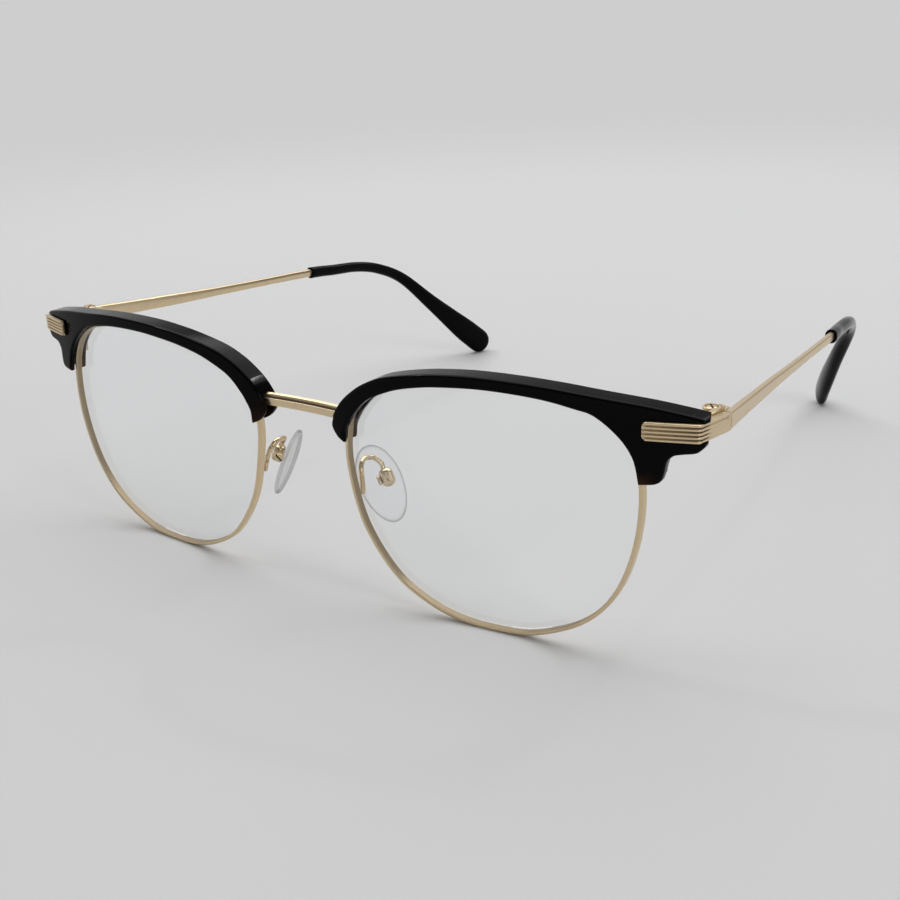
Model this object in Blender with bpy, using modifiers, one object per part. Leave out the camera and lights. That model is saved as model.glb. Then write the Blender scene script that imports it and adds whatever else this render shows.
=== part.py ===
"""Browline eyeglass frame with metal rims, acetate brows, slim metal temples and acetate tips.

Metres. +X is the wearer's left, -Y is the front, +Z is up. The open frame stands on z = 0
on its rims and its two tips, and the origin is the middle of its footprint.
"""

import math

import bmesh
import bpy
from mathutils import Matrix, Vector

# Lenses and the curve of the face
LENS_WIDTH = 0.0520
LENS_HEIGHT = 0.0427
NOSE_GAP = 0.01954
FACE_RADIUS = 0.1256
FACE_WRAP = math.radians(4.52)
FACE_TILT = math.radians(-1.47)
LENS_THICKNESS = 0.0014

# Rims
RIM_WIDTH = 0.00070
RIM_DEPTH = 0.00150
RIM_EDGE = 0.00012
RIM_GROOVE = 0.00028
RIM_GROOVE_OPENING = 0.00070
RIM_SPLIT = 0.00016

# Clearances
BRAZED_GAP = 0.00012
SEAT_GAP = 0.00015
OVERRUN = 0.0010
WELD_DISTANCE = 0.000001

# Brows
BROW_DEPTH = 0.00415
BROW_ROUNDING = 0.00050
BROW_CHANNEL = 0.00170
BRIDGE_SLOT_FRONT = 0.00115
BRIDGE_SLOT_BACK = 0.00095
LEG_FRONT_WALL = 0.00105
LEG_SIDE_WALL = 0.00200
LEG_INNER_WALL = 0.00035
CUTTER_SIZE = 0.00600
END_SLANT = math.radians(17.4)

# Bridge
BRIDGE_HEIGHT = 0.00190
BRIDGE_DEPTH = 0.00136
BRIDGE_ARCH = 0.00030

# End pieces
PLATE_HEIGHT = 0.00290
PLATE_THICKNESS = 0.00075
SIDE_THICKNESS = 0.00135
PLATE_EDGE = 0.00010
CORNER_RADIUS = 0.00060
SIDE_SPREAD = 0.00080
SIDE_DROP = 0.00105
SEAM_SETBACK = 0.00050
SEAM_GAP = 0.00016
RIB_COUNT = 5
RIB_GROOVE = 0.00016
RIB_MARGIN = 0.00090
LUG_THICKNESS = 0.00090

# Rim locks and screws
LOCK_HEIGHT = 0.00360
LOCK_ROOM = 0.00035
LOCK_SCREW_RADIUS = 0.00042
LOCK_SCREW_HEAD = 0.00075
LOCK_SCREW_SETBACK = 0.00104
SCREW_HEAD_HEIGHT = 0.00040
SCREW_PLAY = 0.00012
BROW_SCREW_RADIUS = 0.00055
BROW_SCREW_HEAD = 0.00095
BROW_SCREW_LENGTH = 0.00360
LOCK_SCREW_LENGTH = 0.00320
SCREW_EDGE = 0.00008
SLOT_WIDTH = 0.00026
SLOT_DEPTH = 0.00022

# Hinges
HINGE_REACH = 0.00641
HINGE_INSET = 0.00300
HINGE_RISE = 0.00035
BARREL_RADIUS = 0.00140
BARREL_HEIGHT = 0.00360
MIDDLE_KNUCKLE = 0.00120
KNUCKLE_GAP = 0.00010
LEAF_THICKNESS = 0.00100
FRONT_LEAF = 0.00320
REAR_LEAF = 0.00400
REAR_LEAF_DROP = 0.00110
HINGE_SCREW_RADIUS = 0.00050
HINGE_SCREW_HEAD = 0.00090
HINGE_SCREW_RECESS = 0.00035

# Temples and tips
TEMPLE_REACH = 0.12783
TEMPLE_TOE_IN = 0.01985
TEMPLE_HEIGHT = 0.00295
TEMPLE_THICKNESS = 0.00130
TIP_WIDTH = 0.00240
TIP_HEIGHT = 0.00280
TIP_END_RADIUS = 0.00335
TIP_END_LENGTH = 0.00415
TIP_END_REACH = 0.00383
TIP_END_LIFT = 0.00395
TIP_END_THICKNESS = 0.00300
BORE_GAP = 0.00015

# Nose pads
PAD_LENGTH = 0.01450
PAD_WIDTH = 0.00780
PAD_THICKNESS = 0.00180
PAD_OUTSET = 0.00092
PAD_SETBACK = 0.00795
PAD_DROP = 0.00258
PAD_ASIDE = 0.00110
PAD_FLARE = math.radians(28.0)
PAD_FORWARD = math.radians(3.0)
PAD_SPLAY = math.radians(43.0)
PAD_GAP = 0.00040
STEM_WIDTH = 0.00100
STEM_LENGTH = 0.00130
STEM_END = 0.00065
BOX_WIDTH = 0.00250
BOX_LENGTH = 0.00340
BOX_DEPTH = 0.00190
BOX_LIFT = 0.00077
BOX_EDGE = 0.00025
POCKET_WIDTH = 0.00130
POCKET_LENGTH = 0.00200
POCKET_DEPTH = 0.00160
PIVOT_DEPTH = 0.00075
PAD_SCREW_RADIUS = 0.00032
PAD_SCREW_HEAD = 0.00090
ARM_RADIUS = 0.00045
ARM_REACH = 0.00540
ARM_RISE = 0.00560
ARM_BOW = 0.00135
ARM_LEAD = 0.00090

# How far the brow's lip reaches in front of the lens centre
FRONT_REACH = 0.00135

# Outlines as shares of half the lens width and half the lens height, from the lens centre
RIM_SHARES = (
    (0.999, 0.326), (0.967, -0.101), (0.849, -0.494), (0.644, -0.778), (0.330, -0.960),
    (0.050, -1.000), (-0.220, -0.980), (-0.450, -0.890), (-0.680, -0.704), (-0.891, -0.323),
    (-0.987, 0.124),
    (-0.993, 0.419), (-0.926, 0.710), (-0.722, 0.897), (-0.337, 0.986), (0.047, 1.002),
    (0.432, 0.977), (0.759, 0.869), (0.940, 0.653),
)
BROW_OUTER_SHARES = (
    (-0.987, 0.382), (-1.037, 0.412), (-1.072, 0.457), (-1.091, 0.504), (-1.083, 0.560),
    (-1.072, 0.607), (-1.010, 0.712), (-0.922, 0.808), (-0.822, 0.888), (-0.672, 0.967),
    (-0.434, 1.033), (-0.222, 1.068), (-0.030, 1.084), (0.220, 1.084), (0.470, 1.068),
    (0.701, 1.040), (0.982, 1.002), (1.163, 0.967), (1.297, 0.934), (1.331, 0.917),
    (1.350, 0.884), (1.355, 0.832), (1.351, 0.789), (1.336, 0.738), (1.313, 0.705),
    (1.286, 0.684), (1.220, 0.672), (1.174, 0.658), (1.147, 0.625), (1.136, 0.588),
    (1.130, 0.532), (1.120, 0.480), (1.101, 0.454), (1.067, 0.440), (0.994, 0.433),
)
BROW_INNER_SHARES = (
    (0.994, 0.433), (0.974, 0.550), (0.947, 0.639), (0.890, 0.738), (0.807, 0.831),
    (0.713, 0.904), (0.624, 0.930), (0.451, 0.970), (0.240, 0.991), (0.009, 0.993),
    (-0.210, 0.972), (-0.376, 0.944), (-0.568, 0.888), (-0.741, 0.799), (-0.826, 0.731),
    (-0.903, 0.630), (-0.934, 0.576), (-0.972, 0.490), (-0.982, 0.400), (-0.987, 0.382),
)
SLOT_SHARES = ((-1.160, 0.340), (-0.965, 0.340), (-0.965, 0.648), (-1.160, 0.648))
POCKET_SHARES = ((1.102, 0.300), (0.930, 0.300), (0.930, 0.570), (0.955, 0.570))
LUG_SHARES = (
    (1.300, 0.872), (1.008, 0.872), (1.008, 0.575), (1.086, 0.575), (1.086, 0.780), (1.300, 0.780),
)

# Heights and widths of the front, in the same shares
BROW_END_SHARE = 1.355
PLATE_START_SHARE = 1.013
PLATE_RISE_SHARE = 0.838
BRIDGE_RISE_SHARE = 0.580
LOCK_START_SHARE = 0.970
LOCK_END_SHARE = 1.096
LOCK_SCREW_SHARE = 1.058
LOCK_FOOT_SHARE = 0.480
LEG_CUT_SHARES = (1.136, 0.625)
BROW_SCREW_SHARES = (1.190, 0.826)
ARM_FOOT_SHARE = -0.100
# Direction that the cut on the leg's outer corner faces: across, up and back
LEG_CUT_SHARE_VECTOR = (0.846, -0.215, 0.538)

# Section of the bridge as shares of its depth and height, from its middle
BRIDGE_SECTION_SHARES = (
    (-0.45, -0.45), (-0.40, -0.50), (0.40, -0.50), (0.50, -0.42), (0.50, 0.44), (0.40, 0.50),
    (0.22, 0.49), (0.02, 0.36), (-0.03, 0.24), (0.05, 0.19), (-0.13, 0.12),
)

# Temple stations: share of the reach behind the seam, share of the toe-in, share of the drop
TEMPLE_ROUTE_SHARES = (
    (0.0, 0.0, 0.0), (0.212, 0.100, 0.0615), (0.384, 0.160, 0.105), (0.559, 0.216, 0.148),
    (0.625, 0.262, 0.172), (0.698, 0.304, 0.200), (0.762, 0.367, 0.258), (0.828, 0.473, 0.380),
    (0.893, 0.686, 0.622), (0.959, 0.889, 0.862), (1.0, 1.0, 1.0),
)
# Rows of place along the route and share of the temple's size there
TEMPLE_HEIGHT_SHARES = (
    (0.0, 1.0), (0.12, 0.90), (0.22, 0.81), (0.28, 0.70), (0.40, 0.62), (0.55, 0.64),
    (0.60, 0.60), (0.70, 0.48), (1.0, 0.40),
)
TEMPLE_THICKNESS_SHARES = ((0.0, 1.0), (0.20, 0.98), (0.40, 0.95), (0.60, 0.95), (1.0, 0.85))
TEMPLE_SQUARENESS_SHARES = ((0.0, 5.0), (0.08, 3.4), (0.30, 2.6), (1.0, 2.2))
# Rows of place along the tip and how far its size has grown from the mouth's to the end's
TIP_HEIGHT_SHARES = (
    (0.0, 0.0), (0.25, -0.05), (0.42, -0.03), (0.55, 0.0), (0.65, 0.09), (0.74, 0.29),
    (0.84, 0.62), (0.93, 0.93), (1.0, 1.0),
)
TIP_WIDTH_SHARES = ((0.0, 0.0), (0.5, 0.2), (0.75, 0.8), (1.0, 1.0))
TIP_SQUARENESS = 2.3
TIP_END_SQUARENESS = 2.5
TIP_START_SHARE = 0.559
CORE_END_SHARE = 0.920
BORE_END_SHARE = 0.945

# Nose pads: how much wider the foot is than the middle, and the power that flattens the faces
PAD_TAPER_SHARE = -0.060
PAD_FLATNESS = 0.7

# Guard arm route: shares of its bow, its reach and its rise, from the foot
ARM_ROUTE_SHARES = (
    (0.0, 0.0, 0.0), (0.12, 0.07, 0.24), (0.46, 0.15, 0.62), (0.80, 0.29, 0.88),
    (1.0, 0.52, 1.0), (0.86, 0.76, 0.96),
)

# Places that follow from the sizes above
HALF_WIDTH = LENS_WIDTH / 2
HALF_HEIGHT = LENS_HEIGHT / 2
LENS_X = NOSE_GAP / 2 + HALF_WIDTH
LENS_Z = HALF_HEIGHT + RIM_WIDTH / 2
END_ACROSS = BROW_END_SHARE * HALF_WIDTH
END_UP = PLATE_RISE_SHARE * HALF_HEIGHT
END_BOWL = (END_ACROSS**2 + END_UP**2) / (2 * FACE_RADIUS)
END_SETBACK = END_ACROSS * math.tan(FACE_WRAP) + END_UP * math.tan(FACE_TILT) + END_BOWL
HINGE_SETBACK = END_SETBACK + HINGE_REACH
LENS_Y = FRONT_REACH - (FRONT_REACH + HINGE_SETBACK + TEMPLE_REACH) / 2
BROW_END_X = LENS_X + END_ACROSS
PLATE_X = LENS_X + PLATE_START_SHARE * HALF_WIDTH
PLATE_Z = LENS_Z + END_UP
CORNER_X = BROW_END_X - SIDE_SPREAD
HINGE_X = BROW_END_X - HINGE_INSET
HINGE_Y = LENS_Y + HINGE_SETBACK
SEAM_Y = HINGE_Y + SEAM_SETBACK
SEAM_Z = PLATE_Z - SIDE_DROP
HINGE_Z = SEAM_Z + HINGE_RISE
HINGE_POINT = Vector((HINGE_X, HINGE_Y, HINGE_Z))
PLATE_BACK = -BROW_DEPTH / 2 - SEAT_GAP
PLATE_FRONT = PLATE_BACK - PLATE_THICKNESS
TEMPLE_RUN = TEMPLE_REACH - TIP_END_REACH - SEAM_SETBACK - SEAM_GAP / 2
LUG_FACE = BROW_DEPTH / 2 + SEAT_GAP

CIRCLE_STEPS = 20
SECTION_STEPS = 12
RIM_STEPS = 3
BROW_STEPS = 2
ROUTE_STEPS = 2
WIRE_STEPS = 4
END_STEPS = 5
BRIDGE_STEPS = 10
PLATE_STEPS = 6
CORNER_STEPS = 4
LENS_RING_SHARES = (0.4, 0.8, 1.0)


def face_y(x, z):
    """The curved front of the frame: one shallow bowl for each lens."""
    across = abs(x) - LENS_X
    up = z - LENS_Z
    bowl = (across**2 + up**2) / (2 * FACE_RADIUS)
    return LENS_Y + across * math.tan(FACE_WRAP) + up * math.tan(FACE_TILT) + bowl


def face_normal(x, z):
    """The unit vector that points straight back from the face curve."""
    slope_x = math.tan(FACE_WRAP) + (x - LENS_X) / FACE_RADIUS
    slope_z = math.tan(FACE_TILT) + (z - LENS_Z) / FACE_RADIUS
    return Vector((-slope_x, 1, -slope_z)).normalized()


def from_shares(shares):
    """Points in front view from shares of the half lens sizes."""
    return [Vector((LENS_X + a * HALF_WIDTH, LENS_Z + b * HALF_HEIGHT)) for a, b in shares]


def smooth(points, steps, closed=False):
    """A Catmull-Rom curve through the points, with the given steps between neighbours."""
    count = len(points)
    spans = count if closed else count - 1
    result = []
    for span in range(spans):
        places = [span - 1, span, span + 1, span + 2]
        if closed:
            places = [place % count for place in places]
        else:
            places = [min(max(place, 0), count - 1) for place in places]
        before, start, end, after = (points[place] for place in places)
        for step in range(steps):
            t = step / steps
            bend = 2 * before - 5 * start + 4 * end - after
            twist = 3 * (start - end) + after - before
            result.append(start + t / 2 * (end - before + t * (bend + t * twist)))
    if not closed:
        result.append(points[-1])
    return result


def value_at(table, place):
    """Reads a table of (place, value) rows, straight between its rows."""
    for (low, first), (high, second) in zip(table, table[1:]):
        if place <= high:
            return first + (second - first) * (place - low) / (high - low)
    return table[-1][1]


def offset(points, distance):
    """A closed outline, drawn anticlockwise, moved outwards by a distance."""
    moved = []
    for index, point in enumerate(points):
        along = points[(index + 1) % len(points)] - points[index - 1]
        outward = Vector((along.y, -along.x)).normalized()
        moved.append(point + distance * outward)
    return moved


def new_collection(name):
    collection = bpy.data.collections.new(name)
    bpy.context.scene.collection.children.link(collection)
    return collection


def evaluated_mesh(thing):
    """The mesh of an object as it is drawn, with its loose caps welded; the object is used up."""
    bpy.context.view_layer.update()
    graph = bpy.context.evaluated_depsgraph_get()
    mesh = bpy.data.meshes.new_from_object(thing.evaluated_get(graph))
    bpy.data.objects.remove(thing)
    form = bmesh.new()
    form.from_mesh(mesh)
    bmesh.ops.remove_doubles(form, verts=form.verts, dist=WELD_DISTANCE)
    form.to_mesh(mesh)
    form.free()
    return mesh


def temporary(name, data):
    thing = bpy.data.objects.new(name, data)
    bpy.context.scene.collection.objects.link(thing)
    return thing


def poly_curve(points, closed, dimensions):
    curve = bpy.data.curves.new("line", "CURVE")
    curve.dimensions = dimensions
    spline = curve.splines.new("POLY")
    spline.points.add(len(points) - 1)
    for spot, point in zip(spline.points, points):
        spot.co = (*point, 0, 1) if len(point) == 2 else (*point, 1)
    spline.use_cyclic_u = closed
    return curve


def outline_mesh(points, depth, rounding=0.0):
    """A flat outline in X and Y with a depth along Z, centred on z = 0, its edges rounded."""
    curve = poly_curve(points, True, "2D")
    curve.fill_mode = "BOTH"
    curve.extrude = depth / 2 - rounding
    curve.bevel_depth = rounding
    curve.bevel_resolution = 1
    curve.offset = -rounding
    return evaluated_mesh(temporary("outline", curve))


def sweep_mesh(path, section, closed, dimensions="2D"):
    """A closed section swept along a path. Its X points out of an anticlockwise path, its Y up Z."""
    rail = poly_curve(path, closed, dimensions)
    turned = [(-x, y) for x, y in section]
    shape = temporary("section", poly_curve(turned, True, "2D"))
    rail.bevel_mode = "OBJECT"
    rail.bevel_object = shape
    rail.use_fill_caps = not closed
    mesh = evaluated_mesh(temporary("rail", rail))
    bpy.data.objects.remove(shape)
    return mesh


def tube_mesh(points, radius, resolution=2):
    curve = poly_curve(points, False, "3D")
    curve.bevel_depth = radius
    curve.bevel_resolution = resolution
    curve.use_fill_caps = True
    return evaluated_mesh(temporary("tube", curve))


def box_mesh(low, high):
    """A box between two corners."""
    form = bmesh.new()
    bmesh.ops.create_cube(form, size=1.0)
    size = Vector(high) - Vector(low)
    middle = (Vector(high) + Vector(low)) / 2
    bmesh.ops.transform(form, matrix=Matrix.Translation(middle) @ Matrix.Diagonal((*size, 1)), verts=form.verts)
    return finished(form)


def cylinder_mesh(radius, low, high):
    """A cylinder about Z between two heights."""
    form = bmesh.new()
    bmesh.ops.create_cone(
        form, cap_ends=True, segments=CIRCLE_STEPS, radius1=radius, radius2=radius, depth=high - low
    )
    bmesh.ops.translate(form, vec=(0, 0, (low + high) / 2), verts=form.verts)
    return finished(form)


def finished(form):
    """Turns a bmesh into a mesh with flat triangles and outward faces."""
    bmesh.ops.triangulate(form, faces=form.faces)
    bmesh.ops.recalc_face_normals(form, faces=form.faces)
    mesh = bpy.data.meshes.new("solid")
    form.to_mesh(mesh)
    form.free()
    return mesh


def loft_mesh(rings):
    """Skins rings of equal numbers of points and closes both ends."""
    form = bmesh.new()
    rows = [[form.verts.new(point) for point in ring] for ring in rings]
    for first, second in zip(rows, rows[1:]):
        for index in range(len(first)):
            after = (index + 1) % len(first)
            form.faces.new((first[index], first[after], second[after], second[index]))
    form.faces.new(rows[0])
    form.faces.new(rows[-1])
    return finished(form)


def joined(base, tool, operation):
    """One exact Boolean between two meshes; both are used up."""
    body = temporary("body", base)
    other = temporary("tool", tool)
    boolean = body.modifiers.new("boolean", "BOOLEAN")
    boolean.operation = operation
    boolean.solver = "EXACT"
    boolean.object = other
    mesh = evaluated_mesh(body)
    bpy.data.objects.remove(other)
    return mesh


def cut(base, *tools):
    for tool in tools:
        base = joined(base, tool, "DIFFERENCE")
    return base


def remapped(mesh, place):
    """Moves every point of a mesh by a rule, with its flat faces split into short triangles first."""
    form = bmesh.new()
    form.from_mesh(mesh)
    bmesh.ops.dissolve_limit(
        form, angle_limit=math.radians(0.5), verts=form.verts, edges=form.edges
    )
    bmesh.ops.triangulate(form, faces=form.faces, quad_method="BEAUTY", ngon_method="BEAUTY")
    for vertex in form.verts:
        vertex.co = place(vertex.co)
    return finished(form)


def laid_on_face(mesh, side):
    """Bends a mesh drawn flat, X across, Y up and Z back, onto one side's face curve."""
    return remapped(mesh, lambda p: Vector((side * p.x, face_y(p.x, p.y) + p.z, p.y)))


def mirrored(mesh, side):
    """The same mesh on the given side, its faces still pointing outwards."""
    mesh.transform(Matrix.Diagonal((side, 1, 1, 1)))
    if side < 0:
        mesh.flip_normals()
    return mesh


def moved(mesh, matrix):
    mesh.transform(matrix)
    return mesh


def shifted(mesh, x, y, z):
    return moved(mesh, Matrix.Translation((x, y, z)))


def turned_to(direction, point):
    """The matrix that lays Z along a direction at a point."""
    return Matrix.Translation(point) @ direction.to_track_quat("Z", "Y").to_matrix().to_4x4()


def make_material(name, colour, roughness, metallic=0.0, transmission=0.0):
    material = bpy.data.materials.new(name)
    material.use_nodes = True
    shader = material.node_tree.nodes["Principled BSDF"]
    shader.inputs["Base Color"].default_value = (*colour, 1)
    shader.inputs["Roughness"].default_value = roughness
    shader.inputs["Metallic"].default_value = metallic
    shader.inputs["Transmission Weight"].default_value = transmission
    return material


def add_piece(name, mesh, material, carrier):
    """A named object whose mesh, given in world space, is measured from its carrier's origin."""
    mesh.name = name
    mesh.transform(Matrix.Translation(-carrier.location))
    mesh.materials.clear()
    mesh.materials.append(material)
    mesh.shade_smooth()
    mesh.set_sharp_from_angle(angle=math.radians(32))
    piece = bpy.data.objects.new(name, mesh)
    PARTS.objects.link(piece)
    piece.parent = carrier
    return piece


def add_carrier(name, point):
    carrier = bpy.data.objects.new(name, None)
    carrier.location = point
    carrier.empty_display_size = HALF_HEIGHT
    PARTS.objects.link(carrier)
    return carrier


def rim_path(distance=0.0):
    """The eyewire's centre line in front view, moved outwards by a distance."""
    line = smooth(from_shares(RIM_SHARES), RIM_STEPS, closed=True)
    area = sum(a.x * b.y - b.x * a.y for a, b in zip(line, line[1:] + line[:1]))
    if area < 0:
        line.reverse()
    return offset(line, distance)


def rim_seat(gap, depth):
    """A block with the outline of the rim's outer side, which trims what meets the rim."""
    return outline_mesh(rim_path(RIM_WIDTH / 2 + gap), depth)


def make_rim(side):
    half = RIM_WIDTH / 2
    back = RIM_DEPTH / 2
    inner = -half
    groove = RIM_GROOVE_OPENING / 2
    section = [
        (inner + RIM_EDGE, -back), (half - RIM_EDGE, -back), (half, RIM_EDGE - back),
        (half, back - RIM_EDGE), (half - RIM_EDGE, back), (inner + RIM_EDGE, back),
        (inner, back - RIM_EDGE), (inner, groove), (inner + RIM_GROOVE, 0), (inner, -groove),
        (inner, RIM_EDGE - back),
    ]
    wire = sweep_mesh(rim_path(), section, True)
    split = LENS_Z + LOCK_FOOT_SHARE * HALF_HEIGHT + LOCK_HEIGHT / 2
    saw = box_mesh(
        (LENS_X + HALF_WIDTH / 2, split - RIM_SPLIT / 2, -RIM_DEPTH),
        (LENS_X + HALF_WIDTH + OVERRUN, split + RIM_SPLIT / 2, RIM_DEPTH),
    )
    return laid_on_face(cut(wire, saw), side)


def make_lens(side):
    """Rings shrink to the middle of each face, and one ring is the bevel's ridge in the groove."""
    body = rim_path(-RIM_WIDTH / 2 - SEAT_GAP)
    ridge = rim_path(-RIM_WIDTH / 2 - SEAT_GAP + RIM_GROOVE)
    middle = Vector((LENS_X, LENS_Z))

    def ring(points, shrink, depth):
        flat = [middle + shrink * (point - middle) for point in points]
        return [Vector((side * p.x, face_y(p.x, p.y) + depth, p.y)) for p in flat]

    back = [ring(body, shrink, LENS_THICKNESS / 2) for shrink in LENS_RING_SHARES]
    front = [ring(body, shrink, -LENS_THICKNESS / 2) for shrink in reversed(LENS_RING_SHARES)]
    return loft_mesh(back + [ring(ridge, 1.0, 0)] + front)


def make_brow(side):
    """A rounded outline with a channel for the rim, a slot for the bridge and a hollow leg."""
    edge = smooth(from_shares(BROW_OUTER_SHARES), BROW_STEPS)[:-1]
    edge += smooth(from_shares(BROW_INNER_SHARES), BROW_STEPS)[:-1]
    brow = outline_mesh(edge, BROW_DEPTH, BROW_ROUNDING)
    channel = rim_seat(SEAT_GAP, BROW_CHANNEL)
    slot = outline_mesh(from_shares(SLOT_SHARES), BRIDGE_SLOT_FRONT + BRIDGE_SLOT_BACK)
    slot = shifted(slot, 0, 0, (BRIDGE_SLOT_BACK - BRIDGE_SLOT_FRONT) / 2)
    foot = from_shares(POCKET_SHARES)
    top = lock_foot() + LOCK_HEIGHT + LOCK_ROOM
    room = foot + [Vector((foot[-1].x, top)), Vector((foot[0].x, top))]
    pocket = shifted(outline_mesh(room, BROW_DEPTH), 0, 0, LEG_FRONT_WALL)
    pocket = cut(pocket, leg_wall(0))
    brow = laid_on_face(cut(brow, channel, slot, pocket, leg_cutter(), end_cutter()), 1)
    return mirrored(cut(brow, end_notch(), brow_screw_hole()), side)


def leg_wall(gap):
    """The leg's wall behind the rim, on the lens side of the lock, widened by a gap."""
    wall = rim_seat(LEG_INNER_WALL + gap, BROW_DEPTH)
    return shifted(wall, 0, 0, (BROW_CHANNEL + BROW_DEPTH) / 2 - gap)


def end_cutter():
    """Slants the brow's end, which is shorter at the back than at the front."""
    half = CUTTER_SIZE
    block = box_mesh((-half, -half, 0), (half, half, half))
    facing = Vector((math.cos(END_SLANT), 0, math.sin(END_SLANT)))
    return moved(block, turned_to(facing, Vector((BROW_END_X, PLATE_Z, -BROW_DEPTH / 2))))


def leg_cutter():
    """Takes the outer rear corner off the leg, which leaves its side wall thinner to the foot."""
    corner = from_shares((LEG_CUT_SHARES,))[0]
    point = Vector((*corner, LEG_SIDE_WALL - BROW_DEPTH / 2))
    half = CUTTER_SIZE
    block = box_mesh((-half, -half, 0), (half, half, half))
    block = moved(block, turned_to(Vector(LEG_CUT_SHARE_VECTOR), point))
    below = box_mesh(
        (corner.x - half, corner.y - 2 * half, -half), (corner.x + half, corner.y, half)
    )
    return joined(block, below, "INTERSECT")


def plate_y(x, depth):
    return face_y(x, PLATE_Z) + depth


def corner_y():
    return plate_y(CORNER_X, PLATE_FRONT)


def sloped(point):
    """The side plate runs down towards the hinge."""
    share = (point.y - corner_y()) / (SEAM_Y - corner_y())
    drop = SIDE_DROP * min(max(share, 0), 1)
    return Vector((point.x, point.y, point.z - drop))


def plate_outer_line():
    """The end piece's outer face in plan, from the brow's face round the corner to the seam."""
    last = CORNER_X - CORNER_RADIUS
    places = [PLATE_X + (last - PLATE_X) * step / PLATE_STEPS for step in range(PLATE_STEPS + 1)]
    line = [Vector((x, plate_y(x, PLATE_FRONT))) for x in places]
    corner = Vector((CORNER_X, corner_y()))
    end = Vector((BROW_END_X, SEAM_Y - SEAM_GAP / 2))
    after = corner + CORNER_RADIUS * (end - corner).normalized()
    before = line[-1]
    for step in range(1, CORNER_STEPS + 1):
        t = step / CORNER_STEPS
        line.append((1 - t) ** 2 * before + 2 * t * (1 - t) * corner + t**2 * after)
    return line + [end]


def make_end_piece(side):
    """A ribbed plate bent round the brow's end, with a lug that runs inwards behind the brow."""
    outer = plate_outer_line()
    inner_x = CORNER_X - SIDE_THICKNESS
    inner = [Vector((BROW_END_X - SIDE_THICKNESS, SEAM_Y - SEAM_GAP / 2))]
    places = [inner_x + (PLATE_X - inner_x) * step / PLATE_STEPS for step in range(PLATE_STEPS + 1)]
    inner += [Vector((x, plate_y(x, PLATE_BACK))) for x in places]
    plate = shifted(outline_mesh(outer + inner, PLATE_HEIGHT, PLATE_EDGE), 0, 0, PLATE_Z)
    start = Vector((outer[0].x - OVERRUN, plate_y(outer[0].x - OVERRUN, PLATE_FRONT)))
    margin = RIB_MARGIN * (outer[-1] - outer[-2]).normalized()
    line = [start] + outer[:-1] + [outer[-1] - margin]
    for rib in range(1, RIB_COUNT):
        height = PLATE_Z + PLATE_HEIGHT * (rib / RIB_COUNT - 1 / 2)
        groove = tube_mesh([Vector((*point, height)) for point in line], RIB_GROOVE, 1)
        plate = cut(plate, groove)
    plate = remapped(plate, sloped)
    outline = from_shares(LUG_SHARES)
    outline[0].x = outline[-1].x = CORNER_X - (SIDE_THICKNESS - SIDE_SPREAD) / 2
    lug = outline_mesh(outline, LUG_THICKNESS)
    lug = laid_on_face(shifted(lug, 0, 0, LUG_FACE + LUG_THICKNESS / 2), 1)
    return mirrored(cut(joined(plate, lug, "UNION"), brow_screw_hole()), side)


def end_notch():
    """The room for the end piece's side in the brow's end."""
    half = PLATE_HEIGHT / 2 + SEAT_GAP
    low = (CORNER_X - SIDE_THICKNESS - SEAT_GAP, corner_y() - OVERRUN, PLATE_Z - half)
    high = (BROW_END_X + OVERRUN, SEAM_Y, PLATE_Z + half)
    drop = SIDE_DROP / (SEAM_Y - corner_y())
    notch = box_mesh(low, high)
    for vertex in notch.vertices:
        vertex.co.z -= drop * (vertex.co.y - corner_y())
    return notch


def screw_mesh(radius, head_radius, head_height, length):
    """A turned screw along Z with its head above z = 0, and a slot across the head."""
    edge = SCREW_EDGE
    profile = (
        (0, head_height), (head_radius - edge, head_height), (head_radius, head_height - edge),
        (head_radius, 0), (radius, 0), (radius, edge - length), (radius - edge, -length), (0, -length),
    )
    line = bpy.data.meshes.new("profile")
    points = [(across, 0, up) for across, up in profile]
    line.from_pydata(points, [(index, index + 1) for index in range(len(points) - 1)], [])
    turned = temporary("screw", line)
    lathe = turned.modifiers.new("lathe", "SCREW")
    lathe.steps = lathe.render_steps = CIRCLE_STEPS
    lathe.use_merge_vertices = True
    lathe.merge_threshold = WELD_DISTANCE
    slot = box_mesh(
        (-head_radius - edge, -SLOT_WIDTH / 2, head_height - SLOT_DEPTH),
        (head_radius + edge, SLOT_WIDTH / 2, head_height + edge),
    )
    return cut(evaluated_mesh(turned), slot)


def brow_screw_place():
    spot = from_shares((BROW_SCREW_SHARES,))[0]
    depth = LUG_FACE + LUG_THICKNESS + BRAZED_GAP
    point = Vector((spot.x, face_y(*spot) + depth, spot.y))
    return turned_to(face_normal(*spot), point)


def brow_screw_hole():
    length = BROW_SCREW_LENGTH + SEAT_GAP
    hole = cylinder_mesh(BROW_SCREW_RADIUS + SCREW_PLAY, -length, OVERRUN)
    return moved(hole, brow_screw_place())


def make_brow_screw(side):
    screw = screw_mesh(BROW_SCREW_RADIUS, BROW_SCREW_HEAD, SCREW_HEAD_HEIGHT, BROW_SCREW_LENGTH)
    return mirrored(moved(screw, brow_screw_place()), side)


def lock_foot():
    return LENS_Z + LOCK_FOOT_SHARE * HALF_HEIGHT


def lock_screw_place():
    x = LENS_X + LOCK_SCREW_SHARE * HALF_WIDTH
    z = lock_foot() - BRAZED_GAP
    return turned_to(Vector((0, 0, -1)), Vector((x, face_y(x, z) + LOCK_SCREW_SETBACK, z)))


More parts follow.
